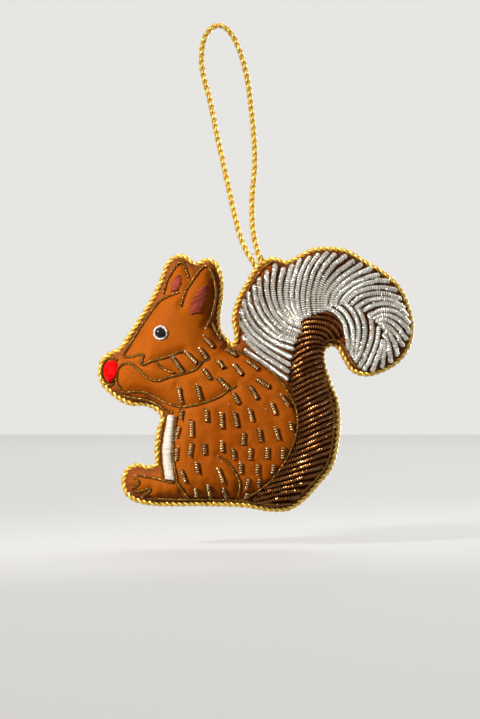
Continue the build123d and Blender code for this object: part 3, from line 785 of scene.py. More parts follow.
outline = insetLine(smoothLine([place(pixel) for pixel in edge["pixels"]], body["rimStep"], closed=True),
                    body["rimInset"])
flat, panelFaces = fillOutline(outline, body["meshStep"])
rimCount = len(outline)
swell = np.sqrt(membrane(flat, panelFaces, rimCount, body["edgeRoll"], body["meshStep"], body["solveRounds"]))
swell /= swell.max()
inner = len(flat) - rimCount
frontPoints = np.column_stack([flat[:, 0], -body["frontRise"] * swell, flat[:, 1]])
backPoints = np.column_stack([flat[:, 0], body["backRise"] * swell, flat[:, 1]])[rimCount:]
pillowPoints = np.vstack([frontPoints, backPoints])
backFaces = [tuple(v if v < rimCount else v + inner for v in reversed(f)) for f in panelFaces]
pillowFaces = panelFaces + backFaces
print("pillow", len(pillowPoints), "points, tallest", round(float(swell.max()), 2))

blown = inflate(pillowPoints, pillowFaces, rimCount)
move = blown - pillowPoints
size = np.linalg.norm(move, axis=1)[:, None]
meanMove, mostMove = (round(float(value) / mm, 2) for value in (size.mean(), size.max()))
print("cloth moved", meanMove, "mm on average,", mostMove, "most")
pillowPoints = pillowPoints + move * np.minimum(1, body["moveCap"] / np.maximum(size, 1e-9))

pillowMesh = bpy.data.meshes.new("pillow")
pillowMesh.from_pydata(pillowPoints.tolist(), [], pillowFaces)
pillowMesh.polygons.foreach_set("material_index", [0] * len(panelFaces) + [1] * len(backFaces))
pillowMesh.materials.append(cottonFront)
pillowMesh.materials.append(cottonBack)
pillow = addObject("pillow", pillowMesh)
rounded = pillow.modifiers.new("round", "SUBSURF")
rounded.levels = rounded.render_levels = 1
plainMesh(pillow)

# Outline wires in pixels, each laid on the cloth and sewn down into it
wires = {
    "diameter": 1.0 * mm,
    "wire": 0.4 * mm,
    "turnPitch": 0.52 * mm,
    "sides": 6,
    "seed": 3,
    "step": 0.4 * mm,
    "sink": 0.1 * mm,
    "dentDepth": 0.9 * mm,
    "dentWidth": 1.6 * mm,
    "pixels": {
        "brow_wire": [
            (179.9, 292.6), (171.4, 295.8), (163, 300), (155.4, 307.6), (146.4, 320.4), (136.8, 335.2),
            (128.6, 348.5), (123.8, 356.2)],
        "far_ear_wire": [
            (164.4, 295), (166.4, 286.9), (169.6, 278), (174.6, 269.6), (181.3, 263), (185.2, 269),
            (188.9, 279)],
        "near_ear_wire": [
            (180.9, 306.9), (185.7, 292.1), (190.8, 283.8), (198.4, 273), (206.4, 266.6), (210.5, 273),
            (214.6, 288), (213.6, 303), (209.8, 317), (205.6, 327)],
        "mouth_wire": [
            (124.5, 357.6), (133, 357), (144, 354.6), (142, 364.2), (153.5, 360.8), (169.3, 355.9),
            (183.1, 350.8)],
        "cheek_wire": [
            (121.2, 388.5), (117.6, 382), (117.2, 374), (120, 367), (126, 363.4), (132.5, 364),
            (140.8, 370.9), (148.5, 377.6), (157, 380), (170.4, 376.5), (188.3, 372.2), (196.5, 368.6),
            (203, 361.5), (208.4, 359.3)],
        "whisker_wire": [(156.6, 362.6), (164, 368.6), (174, 372.8)],
        "jaw_wire": [
            (122, 390.4), (127, 391.4), (138.7, 390.8), (149, 393), (164.4, 400.6),
            (175, 405), (187.9, 405.8),
            (206.4, 401.3), (221, 395), (230.6, 388.4), (236, 385.4)],
        "throat_wire": [
            (123, 393.8), (129, 396), (138.5, 397.6), (148.6, 399.4), (160.8, 405.4),
            (167.5, 410), (173.6, 412.4)],
        "chest_front_wire": [(166.4, 416.4), (163.2, 431), (161, 447), (161.2, 461), (163.6, 477)],
        "chest_rear_wire": [(177.4, 416.4), (175.6, 430), (174, 446), (174.4, 461), (177.7, 478.6)],
        "leg_wire": [(176.4, 479.4), (180, 485.4), (184.4, 491.4), (188.4, 497)],
        "foot_wire": [(138.4, 475.6), (149, 476.9), (162, 479.4), (174.4, 482)],
        "front_toe_wire": [(135.4, 478), (140.2, 483), (132, 488)],
        "rear_toe_wire": [(133.4, 492), (141, 490), (151.4, 488.2), (143.4, 495)],
        "base_wire": [
            (147.4, 497), (171.5, 498), (207.4, 498.2), (240.5, 499.4), (263, 502.4), (284, 502.6)],
        "haunch_wire": [
            (218.2, 455.4), (226.5, 460.6), (233.1, 469.2), (239.4, 480), (239.4, 488.5), (238, 494.4)],
        "nape_wire": [(210.6, 322.6), (214.2, 331), (219.8, 340.4)],
        "back_wire": [
            (227.2, 347.6), (243.3, 354), (261, 363.4), (277.4, 377.6), (288.7, 393), (295.7, 409.2),
            (297.2, 426.7), (292.8, 444.1), (283.6, 462.6), (271.3, 479), (261, 487.6),
            (250.6, 494.4), (240.6, 499)],
        "tail_edge_wire": [
            (240, 343.5), (240.4, 326), (242.2, 307.4), (249, 292), (258.6, 275.8),
            (265.8, 267.4), (271.6, 263.4)],
        "curl_edge_wire": [
            (319.6, 346.5), (322.6, 342.2), (331.6, 338.6), (341.4, 341.8), (348.8, 354.6),
            (355.2, 364.4), (363, 367.4)],
        "stem_edge_wire": [
            (321.2, 376.5), (327, 392.6), (331.6, 410.4), (332, 430), (329.6, 449.4), (324.6, 465),
            (313.2, 479.8), (300, 493)],
        "nose_wire": [
            (114.6, 382.4), (110.8, 384.6), (106.4, 382.6), (103.6, 377), (102.9, 370), (104.6, 363.6),
            (108.6, 359.6), (113.6, 358.6), (118.6, 360.6)],
    },
}
wireLines = {
    name: smoothLine([place(pixel) for pixel in pixels], wires["step"])
    for name, pixels in wires["pixels"].items()
}


# Short fur purls: both ends of each in pixels
fur = {
    "diameter": 1.75 * mm,
    "wire": 0.5 * mm,
    "turnPitch": 0.78 * mm,
    "sides": 6,
    "seed": 5,
    "step": 0.4 * mm,
    "sink": 0.15 * mm,
    "dentDepth": 0.55 * mm,
    "dentWidth": 2.1 * mm,
    "pixels": {
        "fur_cheek": [
            (173.5, 358.5, 182, 370), (186.5, 353, 195.8, 363), (198.8, 347.8, 206, 358),
            (203.4, 338, 212, 347.4), (203.6, 368.8, 210.5, 378.9), (179.2, 386.6, 182, 400.6),
            (197.2, 384.1, 200.3, 398)],
        "fur_nape": [
            (217, 360.2, 223.6, 369), (232.5, 364, 242.4, 375.2), (226.4, 351.4, 237, 357.2),
            (217.6, 377.6, 227, 387), (246.6, 361.2, 258.2, 369.8), (256, 378.6, 269, 387)],
        "fur_chest": [
            (183, 409.6, 182.6, 420), (192.1, 419.5, 192.1, 436), (181, 426.6, 178.2, 437.5),
            (178.6, 447.7, 177.9, 459.5), (191.9, 442.5, 189.8, 455.4), (182, 468.7, 186.2, 480.6)],
        "fur_flank": [
            (206.4, 408.7, 206.9, 421.6), (220.9, 411.8, 222.1, 427.7), (233.9, 411.3, 237.3, 426.7),
            (248.8, 408.2, 251.8, 420), (249, 385.6, 257.1, 398.5), (233, 392.8, 238.4, 403),
            (243.3, 432.3, 242.9, 444.1), (258.8, 428.2, 260.6, 440.5)],
        "fur_rump": [
            (280.6, 394.8, 287, 405), (270.7, 401.5, 275, 413.4), (289.2, 421.5, 290.8, 430.4),
            (274.7, 426.1, 278.1, 439.5), (282.5, 446.1, 281.3, 456.9), (266.4, 446.6, 266.4, 458),
            (272.8, 463.1, 271.3, 472)],
        "fur_haunch": [
            (204.4, 442.5, 204.9, 453.9), (221.3, 440, 222.6, 451), (232.7, 447.7, 234, 457.6),
            (250, 447.2, 249.5, 459), (240.3, 461.5, 241, 471.4), (257.2, 463.1, 256.7, 473.4),
            (248.6, 477.4, 246.6, 486), (259.4, 477.4, 257.6, 483.8)],
        "fur_thigh": [
            (196.4, 461, 198.5, 472.8), (217.6, 466.6, 223, 480.5), (195.7, 485.7, 196.6, 494),
            (208, 483.6, 209.3, 494), (222.6, 486.7, 225.8, 494.4), (248.4, 490, 245.4, 494.6)],
    },
}
furLines = {
    node: [evenLine(np.array([place((x0, y0)), place((x1, y1))]), fur["step"]) for x0, y0, x1, y1 in ends]
    for node, ends in fur["pixels"].items()
}


# Each place's distance to the nearest of a line's points, and that point's number, a block at a time
def nearestOn(spots, line):
    blockSize = 2000
    gaps, numbers = [], []
    for start in range(0, len(spots), blockSize):
        block = np.linalg.norm(spots[start:start + blockSize, None, :] - line[None, :, :], axis=2)
        gaps.append(block.min(axis=1))
        numbers.append(block.argmin(axis=1))
    return np.concatenate(gaps), np.concatenate(numbers)


def nearestGap(spots, line):
    return nearestOn(spots, line)[0]


# The sewn wires and fur purls draw the front cover in along their lines
coords = np.array([vertex.co for vertex in pillow.data.vertices])
onFront = np.clip(-coords[:, 1] / body["dentFade"], 0, 1)
for sewn, lines in ((wires, wireLines.values()), (fur, sum(furLines.values(), []))):
    nearest = nearestGap(coords[:, ::2], np.vstack(list(lines)))
    coords[:, 1] += onFront * sewn["dentDepth"] * np.exp(-(nearest / sewn["dentWidth"]) ** 2)

# The seam's stitches gather both covers into small puckers
away, rimNumber = nearestOn(coords[:, ::2], rimLine)
gather = 0.5 + 0.5 * np.cos(math.tau * rimNumber * edge["step"] / body["puckerPitch"])
fade = (away / body["puckerWidth"]) * np.exp(1 - away / body["puckerWidth"])
outward = np.clip(coords[:, 1] / body["puckerFade"], -1, 1)
coords[:, 1] -= outward * body["puckerDepth"] * gather * fade ** 2
pillow.data.vertices.foreach_set("co", coords.ravel())
pillow.data.update()


# Cuts one cover out of the pillow
def coverMesh(name, side):
    mesh = pillow.data.copy()
    work = bmesh.new()
    work.from_mesh(mesh)
    bmesh.ops.delete(work, geom=[face for face in work.faces if face.material_index != side], context="FACES")
    for face in work.faces:
        face.smooth = True
        face.material_index = 0
    work.to_mesh(mesh)
    work.free()
    mesh.materials.clear()
    return addObject(name, mesh)


frontCover = coverMesh("frontCover", 0)
frontCover.data.materials.append(cottonFront)
backCover = coverMesh("backCover", 1)
backCover.data.materials.append(cottonBack)
frontTree = BVHTree.FromObject(frontCover, bpy.context.evaluated_depsgraph_get())
rayStart = -50 * mm    # well in front of the figure
nearStart = -10 * mm   # just in front of its cloth

for cover, node, slot in ((frontCover, "front_panel", "front_fabric"), (backCover, "back_panel", "back_fabric")):
    wall = cover.modifiers.new("cloth", "SOLIDIFY")
    wall.thickness = body["clothThickness"]
    wall.offset = -1
    plainMesh(cover)
    spots = np.array([vertex.co for vertex in cover.data.vertices])[:, ::2]
    away = nearestGap(spots, rimLine)
    # painted shade on the cloth beside the seam, fading away from it
    shade = cover.data.attributes.new("paintedSeamShade", "FLOAT", "POINT")
    shade.data.foreach_set("value", body["seamShare"] * np.exp(-(away / body["seamWidth"]) ** 2))
    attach(cover, "squirrel")
    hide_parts(node)

# Fibre filling: the same form drawn in under the covers
fillMesh = bpy.data.meshes.new("fibreFilling")
fillMesh.from_pydata(pillowPoints.tolist(), [], pillowFaces)
normals = np.array([vertex.normal for vertex in fillMesh.vertices])
waveAcross, waveUp = body["lumpWaves"]
lumps = np.array([
    body["lumpShare"] * math.sin(waveAcross * x) * math.sin(waveUp * z + body["lumpTurn"])
    for x, _, z in pillowPoints
])
fillDepth = body["fillInset"] + body["lumpHeight"] * (lumps + body["lumpShare"])
fillMesh.vertices.foreach_set("co", (pillowPoints - normals * fillDepth[:, None]).ravel())
fillMesh.polygons.foreach_set("use_smooth", [True] * len(pillowFaces))
fillMesh.materials.append(fibre)
filling = addObject("fibreFilling", fillMesh)
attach(filling, "squirrel")
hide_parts("stuffing")
bpy.data.objects.remove(pillow)
print("covers", len(frontCover.data.polygons), len(backCover.data.polygons), "faces")


# Lays a line of (x, z) places on the front cover, lifted square to the cloth or along a given way
def layOn(line, lift, way=None):
    laid = []
    for index, (x, z) in enumerate(line):
        height = lift[index] if np.ndim(lift) else lift
        spot, normal, _, _ = frontTree.ray_cast(Vector((x, rayStart, z)), Vector((0, 1, 0)))
        if spot is None:
            spot, normal, _, _ = frontTree.find_nearest(Vector((x, 0, z)))
        laid.append(spot + (way or normal) * height)
    return np.array([tuple(point) for point in laid])


def camelName(node):
    first, *rest = node.split("_")
    return first + "".join(word.capitalize() for word in rest)


def finishPiece(piece, node):
    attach(piece, "squirrel")
    if node:
        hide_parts(node)


for node, line in wireLines.items():
    laid = layOn(line, wires["diameter"] / 2 - wires["sink"])
    wire = grow(camelName(node), [laid], purlTree, purlSizes(wires), brassCoil)
    finishPiece(wire, node)
print("outline wires", len(wireLines))

for node, flatLines in furLines.items():
    lines = [layOn(line, fur["diameter"] / 2 - fur["sink"]) for line in flatLines]
    purls = grow(camelName(node), lines, purlTree, purlSizes(fur), furCoil)
    finishPiece(purls, node)
print("fur purls", sum(len(lines) for lines in furLines.values()))

# Tail purls: key strands in pixels from the rim inward, filled in between side by side
silver = {
    "diameter": 1.94 * mm,
    "pitch": 1.88 * mm,
    "ribPitch": 0.74 * mm,
    "ribDepth": 0.18,
    "sides": 8,
    "seed": 11,
    "step": 0.4 * mm,
    "sink": 0.35 * mm,
    "jitter": 0.4 * mm,
    "stagger": 0.2 * mm,
    "overrun": (-0.4 * mm, 1.1 * mm),  # further than the keys at the rim and at the inner end
    "shadow": 0.62,                    # how dark the painted shadow on the cloth in the gaps is
    "pixels": {
        "silver_rear": [
            ((244.9, 348.8), (255.2, 356.1), (266, 363), (276.3, 370.3), (286.2, 378.1)),
            ((241.2, 316.5), (245.8, 328.1), (254.4, 338.5), (269.5, 349.7), (288, 360.8)),
            ((246.2, 298.4), (249.2, 313.9), (258.3, 327.7), (272.9, 338.9), (291, 345.3)),
            ((257.6, 282), (258.7, 300.1), (266.9, 316.5), (279.8, 329.4), (294.4, 335.4))],
        "silver_crown": [
            ((264.7, 274.7), (264.7, 294.1), (270.7, 310.9), (282.4, 323.8), (297.4, 329.8)),
            ((272.5, 265.2), (270.7, 286.3), (274.2, 304.4), (284.1, 318.2), (299.6, 324.7)),
            ((285.8, 268.7), (281.9, 282.9), (281.9, 298.4), (286.7, 311.3), (298.7, 319.5)),
            ((298.7, 262.2), (294, 273.4), (290.1, 286.3), (290.1, 301.8), (298.3, 318.2)),
            ((308.2, 258.8), (301.3, 270), (296.8, 282.9), (295.7, 298.4), (300.9, 316.9)),
            ((327.6, 253.6), (318.1, 264.8), (311.2, 279.5), (308.2, 296.7), (309.9, 313.9))],
        "silver_heart": [
            ((341.5, 255.8), (329.5, 265.7), (320.9, 279.5), (316.6, 295), (317.8, 310.9)),
            ((352.7, 260.9), (339.8, 269.1), (329, 280.3), (322.6, 293.2), (322.2, 309.6)),
            ((362.2, 266.1), (348.9, 273.4), (336.4, 282.9), (328.2, 294.1), (326.5, 308.3)),
            ((371.7, 269.5), (357.9, 274.7), (344.5, 282.5), (334.6, 293.2), (331.6, 305.7)),
            ((379.4, 276.4), (365.2, 279), (351.4, 285.1), (341.1, 294.1), (336.8, 304.4))],
        "silver_curl": [
            ((388.9, 283.8), (376, 282.9), (363.1, 285.9), (351.9, 292.4), (343.3, 303.1)),
            ((396.7, 292.4), (382.9, 288.9), (369.1, 289.8), (357, 294.1), (347.6, 303.6)),
            ((401, 301), (388, 295), (374.3, 294.5), (362.2, 297.5), (352.3, 305.3)),
            ((404.4, 310), (393.6, 302.3), (381.2, 300.1), (369.1, 302.3), (357, 309.2)),
            ((406.4, 317.8), (398, 308.7), (386.8, 304.9), (376, 306.2), (365.7, 312.2)),
            ((407.2, 325.5), (399.7, 316.5), (390.2, 311.8), (381.6, 312.2), (372.5, 317.4)),
            ((407, 334.6), (400.5, 324.7), (392.4, 318.6), (384.2, 317.4), (376.4, 320.8)),
            ((404.8, 342.8), (398, 332), (390.2, 325.1), (382.9, 323), (377.3, 325.1))],
        "silver_tip": [
            ((399.7, 352.7), (398, 345.3), (393.6, 338), (387.6, 331.6), (379.4, 326.4)),
            ((392.2, 359.1), (392.2, 350.9), (390.2, 343.2), (386.8, 336.3), (381.6, 329.8)),
            ((384.2, 365.6), (385, 360.4), (385, 354.4), (384.4, 348.4), (383.3, 342.3)),
            ((374.3, 370.8), (375.6, 365.6), (377.5, 359.6), (379.4, 353.5), (380.3, 346.6)),
            ((366.5, 369.5), (370, 363), (373.8, 354.8), (377.5, 345.8), (379.4, 337.6))],
        "silver_inner": [
            ((361.3, 367.7), (368.2, 352.7), (371.9, 340.6), (372.4, 329.4), (370.8, 319.5)),
            ((357, 364.3), (364.4, 345.8), (366.1, 332.9), (364.4, 321.7), (360.1, 312.6)),
            ((355.7, 360.4), (359.8, 338.9), (359.2, 325.1), (354, 313.9), (345.4, 305.7)),
            ((353.2, 356.1), (354, 338.9), (352.6, 326), (346.3, 314.8), (336.4, 306.6)),
            ((349.7, 349.7), (346.9, 334.6), (343.4, 322.5), (336.4, 314.3), (326, 309.2))],
    },
}
bronze = {
    "diameter": 1.4 * mm,
    "pitch": 1.68 * mm,
    "ribPitch": 0.76 * mm,
    "ribDepth": 0.3,
    "sides": 8,
    "seed": 11,
    "step": 0.4 * mm,
    "sink": 0.25 * mm,
    "jitter": 0.2 * mm,
    "stagger": 0.05 * mm,
    "overrun": (0.2 * mm, 0.2 * mm),
    "shadow": 0.9,
    "pixels": {
        "bronze_upper": [
            ((303, 315.5), (316, 312.5), (329.5, 313.4), (339.5, 319.5), (346.5, 330)),
            ((300.5, 320.6), (312.5, 317.8), (326.3, 319.2), (336.6, 323.6), (343.7, 332)),
            ((296.8, 327.9), (309.1, 323.2), (322, 323.8), (331, 327.9), (337.1, 335.9)),
            ((294.6, 335.4), (306.5, 329.8), (318.5, 329.2), (326.7, 332.7), (331.5, 338.5)),
            ((293.1, 342.3), (303.9, 337), (314.2, 335.4), (322, 337), (326.7, 340.2)),
            ((291.2, 350.9), (301.3, 344.5), (310.8, 341.3), (317.7, 341), (322.9, 342.3)),
            ((290.3, 359.1), (299.6, 352), (308.2, 347.7), (315.5, 345.9), (321.4, 346.2)),
            ((290.3, 366), (299.6, 358.9), (309.1, 353.7), (316, 351.1), (321.4, 350.3))],
        "bronze_lower": [
            ((290.4, 370.3), (305.8, 361.8), (320.7, 356.4)),
            ((290.4, 382.3), (307.9, 372.9), (324.6, 366.1)),
            ((293, 393.4), (310.5, 384.4), (327.6, 376.7)),
            ((296.2, 404.9), (313.5, 396), (330.8, 387.8)),
            ((298.3, 416.9), (316, 407.9), (333.6, 399.4)),
            ((298.7, 429.3), (316.9, 420.3), (335.1, 411.3)),
            ((297.2, 441.3), (316, 432.3), (334.8, 423.3)),
            ((292.1, 453.2), (313.5, 444.2), (333.6, 435.3)),
            ((283.6, 464.8), (307.9, 455.8), (330.1, 447.2)),
            ((274.6, 476.3), (300.7, 467.3), (325, 459.2)),
            ((265.6, 486.1), (293.4, 478), (317.7, 471.2)),
            ((256.2, 494.7), (283.6, 487.8), (309.2, 482.3)),
            ((250.7, 500.7), (276.3, 496.4), (299.8, 493.8)),
            ((263.1, 504.1), (276.3, 502.8), (290.8, 501.5))],
    },
}


# Strands evenly side by side from key to key through all of a family's pieces, with some play in their ends
def layStrands(family):
    owners = [node for node, keys in family["pixels"].items() for _ in keys]
    keys = [smoothLine([place(pixel) for pixel in key], family["step"])
            for pieceKeys in family["pixels"].values() for key in pieceKeys]
    longest = max(len(key) for key in keys)
    keys = [evenLine(key, lineLength(key) / (longest - 1)) for key in keys]
    core = slice(longest // 4, 3 * longest // 4)  # the fanned ends don't count in the spacing
    gaps = [float(nearestGap(first[core], second).mean()) for first, second in zip(keys, keys[1:])]
    reach = np.concatenate([[0], np.cumsum(gaps)])
    strands = {node: [] for node in family["pixels"]}
    rimEnd, innerEnd = family["overrun"]
    for offset in np.linspace(0, reach[-1], round(reach[-1] / family["pitch"]) + 1):
        number = min(int(np.searchsorted(reach, offset, "right")) - 1, len(gaps) - 1)
        share = (offset - reach[number]) / gaps[number]
        line = keys[number] * (1 - share) + keys[number + 1] * share
        run = (line[-1] - line[0]) / np.linalg.norm(line[-1] - line[0])
        play = [dice.uniform(-1, 1) * family["jitter"] for _ in range(2)]
        push = np.linspace(play[0] - rimEnd, play[1] + innerEnd, len(line))
        strands[owners[number]].append(line + push[:, None] * run)
    return strands


coverSpots = np.array([vertex.co for vertex in frontCover.data.vertices])[:, ::2]
# painted shade on the cloth in the gaps between the strands
paintedGapShade = np.zeros(len(coverSpots))
for family, material, slot in ((silver, silverCoil, "silver_purl"), (bronze, bronzeCoil, "bronze_purl")):
    for node, strands in layStrands(family).items():
        away = nearestGap(coverSpots, np.vstack(strands)) / family["diameter"]
        paintedGapShade = np.maximum(paintedGapShade, family["shadow"] * np.exp(-away ** 4))
        lines = [
            layOn(line, family["diameter"] / 2 - family["sink"] + dice.uniform(0, family["stagger"]))
            for line in strands
        ]
        sizes = coilSizes(
            family["diameter"], family["ribPitch"], family["ribDepth"], family["sides"], family["seed"])
        purls = grow(camelName(node), lines, facetTree, sizes, material)
        finishPiece(purls, node)
        print(node, len(lines), "strands,", len(purls.data.polygons), "faces")
paintedUnderShade = frontCover.data.attributes.new("paintedUnderShade", "FLOAT", "POINT")
paintedUnderShade.data.foreach_set("value", paintedGapShade)  # painted shade: little light reaches the cloth between the strands

# Satin stitch patches: outline in pixels, stitch angle from level, and how high the stitches dome
patches = {
    "thread": 0.5 * mm,
    "pitch": 0.34 * mm,
    "step": 0.4 * mm,
    "sides": 7,
    "seed": 2,
    "frayShares": (-0.3, 0.7),   # of a patch's fray, how far a stitch may stop short or run over
    "archPower": 0.7,            # below 1 the stitches rise steeply at their ends
    "lift": 0.16 * mm,           # the padding under the stitches keeps them clear of the cloth
    "pieces": {
        "nose_patch": {
            "angle": 62, "dome": 0.9 * mm, "fray": 0.3 * mm, "slot": "red_thread", "material": redSilk,
            "pixels": [
                (112.6, 360.6), (117, 362), (119.2, 366), (118.6, 372), (116.2, 377.6), (112.6, 381.4),
                (108.8, 382), (105.8, 378.6), (104.7, 372.4), (105.6, 366.4), (108.4, 362.2)]},
        "far_ear_patch": {
            "angle": 28, "dome": 0.1 * mm, "fray": 0.9 * mm, "slot": "ear_thread", "material": earSilk,
            "pixels": [
                (177.8, 275.2), (181, 278), (180.4, 285.8), (176.7, 291.2), (171.4, 292), (171.6, 285.8)]},
        "near_ear_patch": {
            "angle": 28, "dome": 0.1 * mm, "fray": 0.9 * mm, "slot": "ear_thread", "material": earSilk,
            "pixels": [
                (202.1, 286.8), (206.9, 285.8), (206.3, 295.3), (203.7, 304.8),
                (198.9, 312.7), (190.5, 313.8),
                (191, 304.8), (195.8, 295.3)]},
        "chest_patch": {
            "angle": 8, "dome": 0.4 * mm, "fray": 0.3 * mm, "slot": "white_thread", "material": whiteSilk,
            "pixels": [
                (168.6, 415.4), (175, 415.8), (173.4, 430.5), (171.8, 446.5), (172.2, 461.5), (175, 479.4),
                (166.2, 478.6), (163.6, 461), (163.4, 447), (165.6, 431.6)]},
    },
}


# Parallel stitches across an outline
def stitchLines(outlinePoints, angle, pitch, fray):
    along = np.array([math.cos(math.radians(angle)), math.sin(math.radians(angle))])
    across = np.array([-along[1], along[0]])
    ahead = np.roll(outlinePoints, -1, axis=0)
    ranks, nextRanks = outlinePoints @ across, ahead @ across
    stitches = []
    rank = ranks.min() + pitch / 2
    while rank < ranks.max():
        hits = sorted(
            float((p + (q - p) * (rank - a) / (b - a)) @ along)
            for p, q, a, b in zip(outlinePoints, ahead, ranks, nextRanks) if (a > rank) != (b > rank)
        )
        for low, high in zip(hits[::2], hits[1::2]):
            low -= dice.uniform(*patches["frayShares"]) * fray
            high += dice.uniform(*patches["frayShares"]) * fray
            stitches.append(np.array([along * low + across * rank, along * high + across * rank]))
        rank += pitch
    return stitches


for node, patch in patches["pieces"].items():
    outlinePoints = np.array([place(pixel) for pixel in patch["pixels"]])
    centre = outlinePoints.mean(axis=0)
    halfway = (outlinePoints + centre) / 2
    way = sum((frontTree.find_nearest(Vector((x, nearStart, z)))[1] for x, z in halfway), Vector())
    way.normalize()
    lines = []
    for stitch in stitchLines(outlinePoints, patch["angle"], patches["pitch"], patch["fray"]):
        line = evenLine(stitch, patches["step"])
        arch = np.sin(np.linspace(0, math.pi, len(line))) ** patches["archPower"]
        lines.append(layOn(line, patches["lift"] + arch * (patch["dome"] + patches["thread"] / 2), way))
    sizes = coilSizes(
        patches["thread"], ribSteps * patches["step"], 0.0, patches["sides"], patches["seed"])
    stitched = grow(camelName(node), lines, coilTree, sizes, patch["material"])
    finishPiece(stitched, node)
print("satin stitch patches", len(patches["pieces"]))

# Eye: a scalloped white ring round a black bead
eye = {
    "pixel": (161.2, 333),
    "ringDiameter": 5.0 * mm,
    "ringWire": 0.8 * mm,
    "scallops": 10,
    "beadDiameter": 3.2 * mm,
    "beadFlat": 0.8,
    "ringLiftShare": 0.4,        # of the ring's wire, over the cloth
    "ringDepth": 0.3,
    "ringSides": 12,
    "ringSeed": 4,
    "beadLiftShare": 0.38,       # of the bead's diameter
    "holeWidth": 0.35 * mm,
    "holeDepth": 0.12 * mm,
}
eyePlace = place(eye["pixel"])
eyeStart = Vector((eyePlace[0], rayStart, eyePlace[1]))
eyeSpot, eyeNormal, _, _ = frontTree.ray_cast(eyeStart, Vector((0, 1, 0)))
eyeSide = eyeNormal.cross(Vector((0, 0, 1))).normalized()
eyeUp = eyeSide.cross(eyeNormal).normalized()
ringRadius = (eye["ringDiameter"] - eye["ringWire"]) / 2
ringLine = np.array([
    tuple(eyeSpot + eyeNormal * eye["ringWire"] * eye["ringLiftShare"]
          + (eyeSide * math.cos(turn) + eyeUp * math.sin(turn)) * ringRadius)
    for turn in np.linspace(0, math.tau, 73)[:-1]
])
ringPitch = math.tau * ringRadius / eye["scallops"]
ringSizes = coilSizes(eye["ringWire"], ringPitch, eye["ringDepth"], eye["ringSides"], eye["ringSeed"])
eyeRing = grow("eyeRing", [ringLine], coilTree, ringSizes, pearlCoat, closed=True)
finishPiece(eyeRing, "eye_ring")

beadWork = bmesh.new()
bmesh.ops.create_uvsphere(beadWork, u_segments=32, v_segments=20, radius=eye["beadDiameter"] / 2)
for vertex in beadWork.verts:
    local = vertex.co.copy()
    dimple = math.exp(-((local.x ** 2 + local.y ** 2) / eye["holeWidth"] ** 2))  # the bead's threaded hole
    depth = local.z * eye["beadFlat"] - math.copysign(eye["holeDepth"] * dimple, local.z)
    lift = depth + eye["beadDiameter"] * eye["beadLiftShare"]
    vertex.co = eyeSpot + eyeSide * local.x + eyeUp * local.y + eyeNormal * lift
bmesh.ops.recalc_face_normals(beadWork, faces=beadWork.faces)
beadMesh = bpy.data.meshes.new("eyeBead")
beadWork.to_mesh(beadMesh)
beadWork.free()
beadMesh.polygons.foreach_set("use_smooth", [True] * len(beadMesh.polygons))
beadMesh.materials.append(glass)
finishPiece(addObject("eyeBead", beadMesh), "eye_bead")

# Pale thread ends that show beside the purls and wires
knots = {
    "size": 0.26 * mm,
    "lift": 0.3 * mm,
    "seed": 6,
    "pixels": [
        (280.5, 394.1), (265.5, 408.6), (228.7, 404), (217.9, 455), (221.6, 460.4),
        (239.9, 460), (223.3, 487.3),
        (247.3, 493.9), (134.8, 475.2), (130.4, 492.4), (142.4, 496.2), (195.7, 487.2), (207.8, 484),
        (179.2, 445.5), (205.3, 328.8), (203.3, 335.7), (172.7, 358), (185.8, 351.3),
        (209.6, 358.6), (179.8, 293.6),
    ],
}
knotSpots = layOn(np.array([place(pixel) for pixel in knots["pixels"]]), knots["lift"])
knotSizes = {"Size": knots["size"], "Seed": knots["seed"]}
threadEnds = grow("threadEnds", [knotSpots], knotTree, knotSizes, whiteSilk)
finishPiece(threadEnds, None)

# Sewing thread through both roots of the loop, knotted behind the left one and let into the edge cord
stitch = {
    "diameter": 0.36 * mm,
    "lay": 0.9 * mm,
    "plyShare": 0.3,
    "sides": 8,
    "steps": 10.0,
    "step": 0.2 * mm,
    "height": loop["bendHeight"],
    "behind": 0.6 * mm,
    "knot": 0.36 * mm,
    "insets": (2.2 * mm, 1.4 * mm, 0.6 * mm),  # from the solid thread's right end, as it turns down
    "dip": 0.4 * mm,
}
stitchLow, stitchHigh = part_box("loop_stitch")
leftRoot = loopLine[np.abs(loopLine[:len(loopLine) // 2, 2] - stitch["height"]).argmin()]
acrossEnd, turnDown, letIn = (stitchHigh.x - inset for inset in stitch["insets"])
stitchLine = smoothLine([
    (leftRoot[0], stitch["behind"], stitch["height"]), (acrossEnd, 0, stitch["height"]),
    (turnDown, stitch["behind"], stitch["height"] - stitch["dip"]), (letIn, 0, stitchLow.z)], stitch["step"])
knotTurns = np.linspace(0, 5 * math.pi, 60)
knotLine = stitchLine[0] + stitch["knot"] * np.column_stack([
    0.5 * np.sin(knotTurns / 3), np.cos(knotTurns), np.sin(knotTurns)])
stitchSizes = cordSizes(stitch, stitch["diameter"], stitch["lay"])
loopStitch = grow("loopStitch", [stitchLine, knotLine], cordTree, stitchSizes, goldSilk)
finishPiece(loopStitch, "loop_stitch")
print("eye, thread ends and loop stitch")

# Stage: pale floor and pale world, shown to the camera brighter than they light the figure
stage = {
    "floorDrop": 12 * mm,
    "floorSize": 3.0,
    "floorColour": "#8C8A87",
    "floorGlow": 0.56,
    "worldColour": "#F4F3F0",
    "worldLight": 0.085,
    "worldShown": 0.88,
}
floorHeight = cadBox[0].z - stage["floorDrop"]
half = stage["floorSize"] / 2
floorMesh = bpy.data.meshes.new("floor")
floorMesh.from_pydata([(-half, -half, floorHeight), (half, -half, floorHeight), (half, half, floorHeight),
                       (-half, half, floorHeight)], [], [(0, 1, 2, 3)])
floor = addObject("floor", floorMesh)


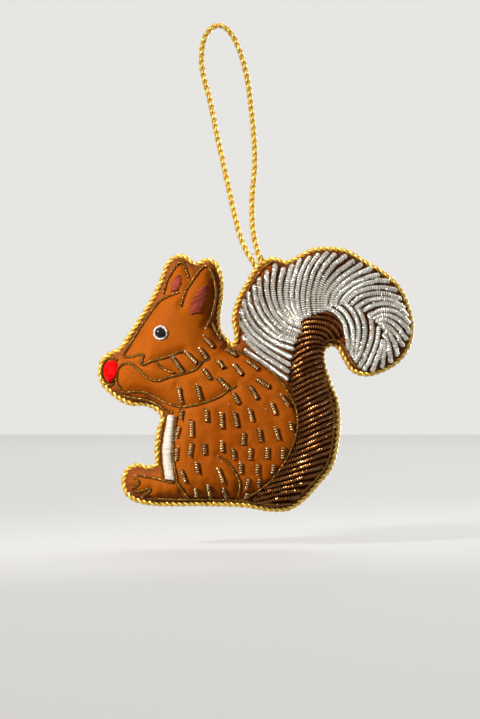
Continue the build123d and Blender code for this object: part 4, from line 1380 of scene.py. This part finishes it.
# A value that differs between rays that show a surface and rays that only carry its light
def shownValue(tree, lighting, showing):
    path = addNode(tree, "ShaderNodeLightPath").outputs
    direct = mathNode(tree, "MAXIMUM", path["Is Camera Ray"], path["Is Glossy Ray"])
    shown = mathNode(tree, "MAXIMUM", direct, path["Is Transmission Ray"])
    value = addNode(tree, "ShaderNodeMapRange", None, {
        "Value": shown, 1: 0.0, 2: 1.0, 3: lighting, 4: showing})
    return value.outputs["Result"]


floorMaterial, floorTree, floorShader = newMaterial("paleFloor")
floorShader.inputs["Base Color"].default_value = linear(stage["floorColour"])
floorShader.inputs["Roughness"].default_value = 0.8
floorShader.inputs["Emission Color"].default_value = linear(stage["worldColour"])
floorTree.links.new(shownValue(floorTree, 0.0, stage["floorGlow"]), floorShader.inputs["Emission Strength"])
floorMesh.materials.append(floorMaterial)

world = bpy.data.worlds.new("paleWorld")
world.use_nodes = True
scene.world = world
background = world.node_tree.nodes["Background"]
background.inputs["Color"].default_value = linear(stage["worldColour"])
world.node_tree.links.new(
    shownValue(world.node_tree, stage["worldLight"], stage["worldShown"]), background.inputs["Strength"])

# Lamps: place and aim from the figure's middle, size, power, and the angle that a grid lets through
lamps = {
    "keyLamp": {
        "from": (-0.33, -0.36, 0.18), "aim": (-0.05, 0, 0.012),
        "size": 0.08, "power": 0.215, "grid": 42},
    "fillLamp": {
        "from": (0.35, -0.7, 0.2), "aim": (0, 0, 0),
        "size": 0.5, "power": 0.3, "grid": 180},
    "rearLamp": {
        "from": (0.46, 0.46, 0.06), "aim": (0, 0, 0),
        "size": 0.2, "power": 0.2, "grid": 50},
    "backLamp": {
        "from": (0.3, 0.9, 1.0), "aim": (0, 0, 0),
        "size": 1.2, "power": 8.0, "grid": 180},
}
figureMiddle = Vector((middle[0], 0, middle[1]))
for name, lamp in lamps.items():
    light = bpy.data.lights.new(name, "AREA")
    light.size = lamp["size"]
    light.energy = lamp["power"]
    light.spread = math.radians(lamp["grid"])
    lampObject = bpy.data.objects.new(name, light)
    lampObject.location = figureMiddle + Vector(lamp["from"])
    beam = Vector(lamp["aim"]) - Vector(lamp["from"])
    lampObject.rotation_euler = beam.to_track_quat("-Z", "Y").to_euler()
    scene.collection.objects.link(lampObject)

bpy.context.view_layer.update()
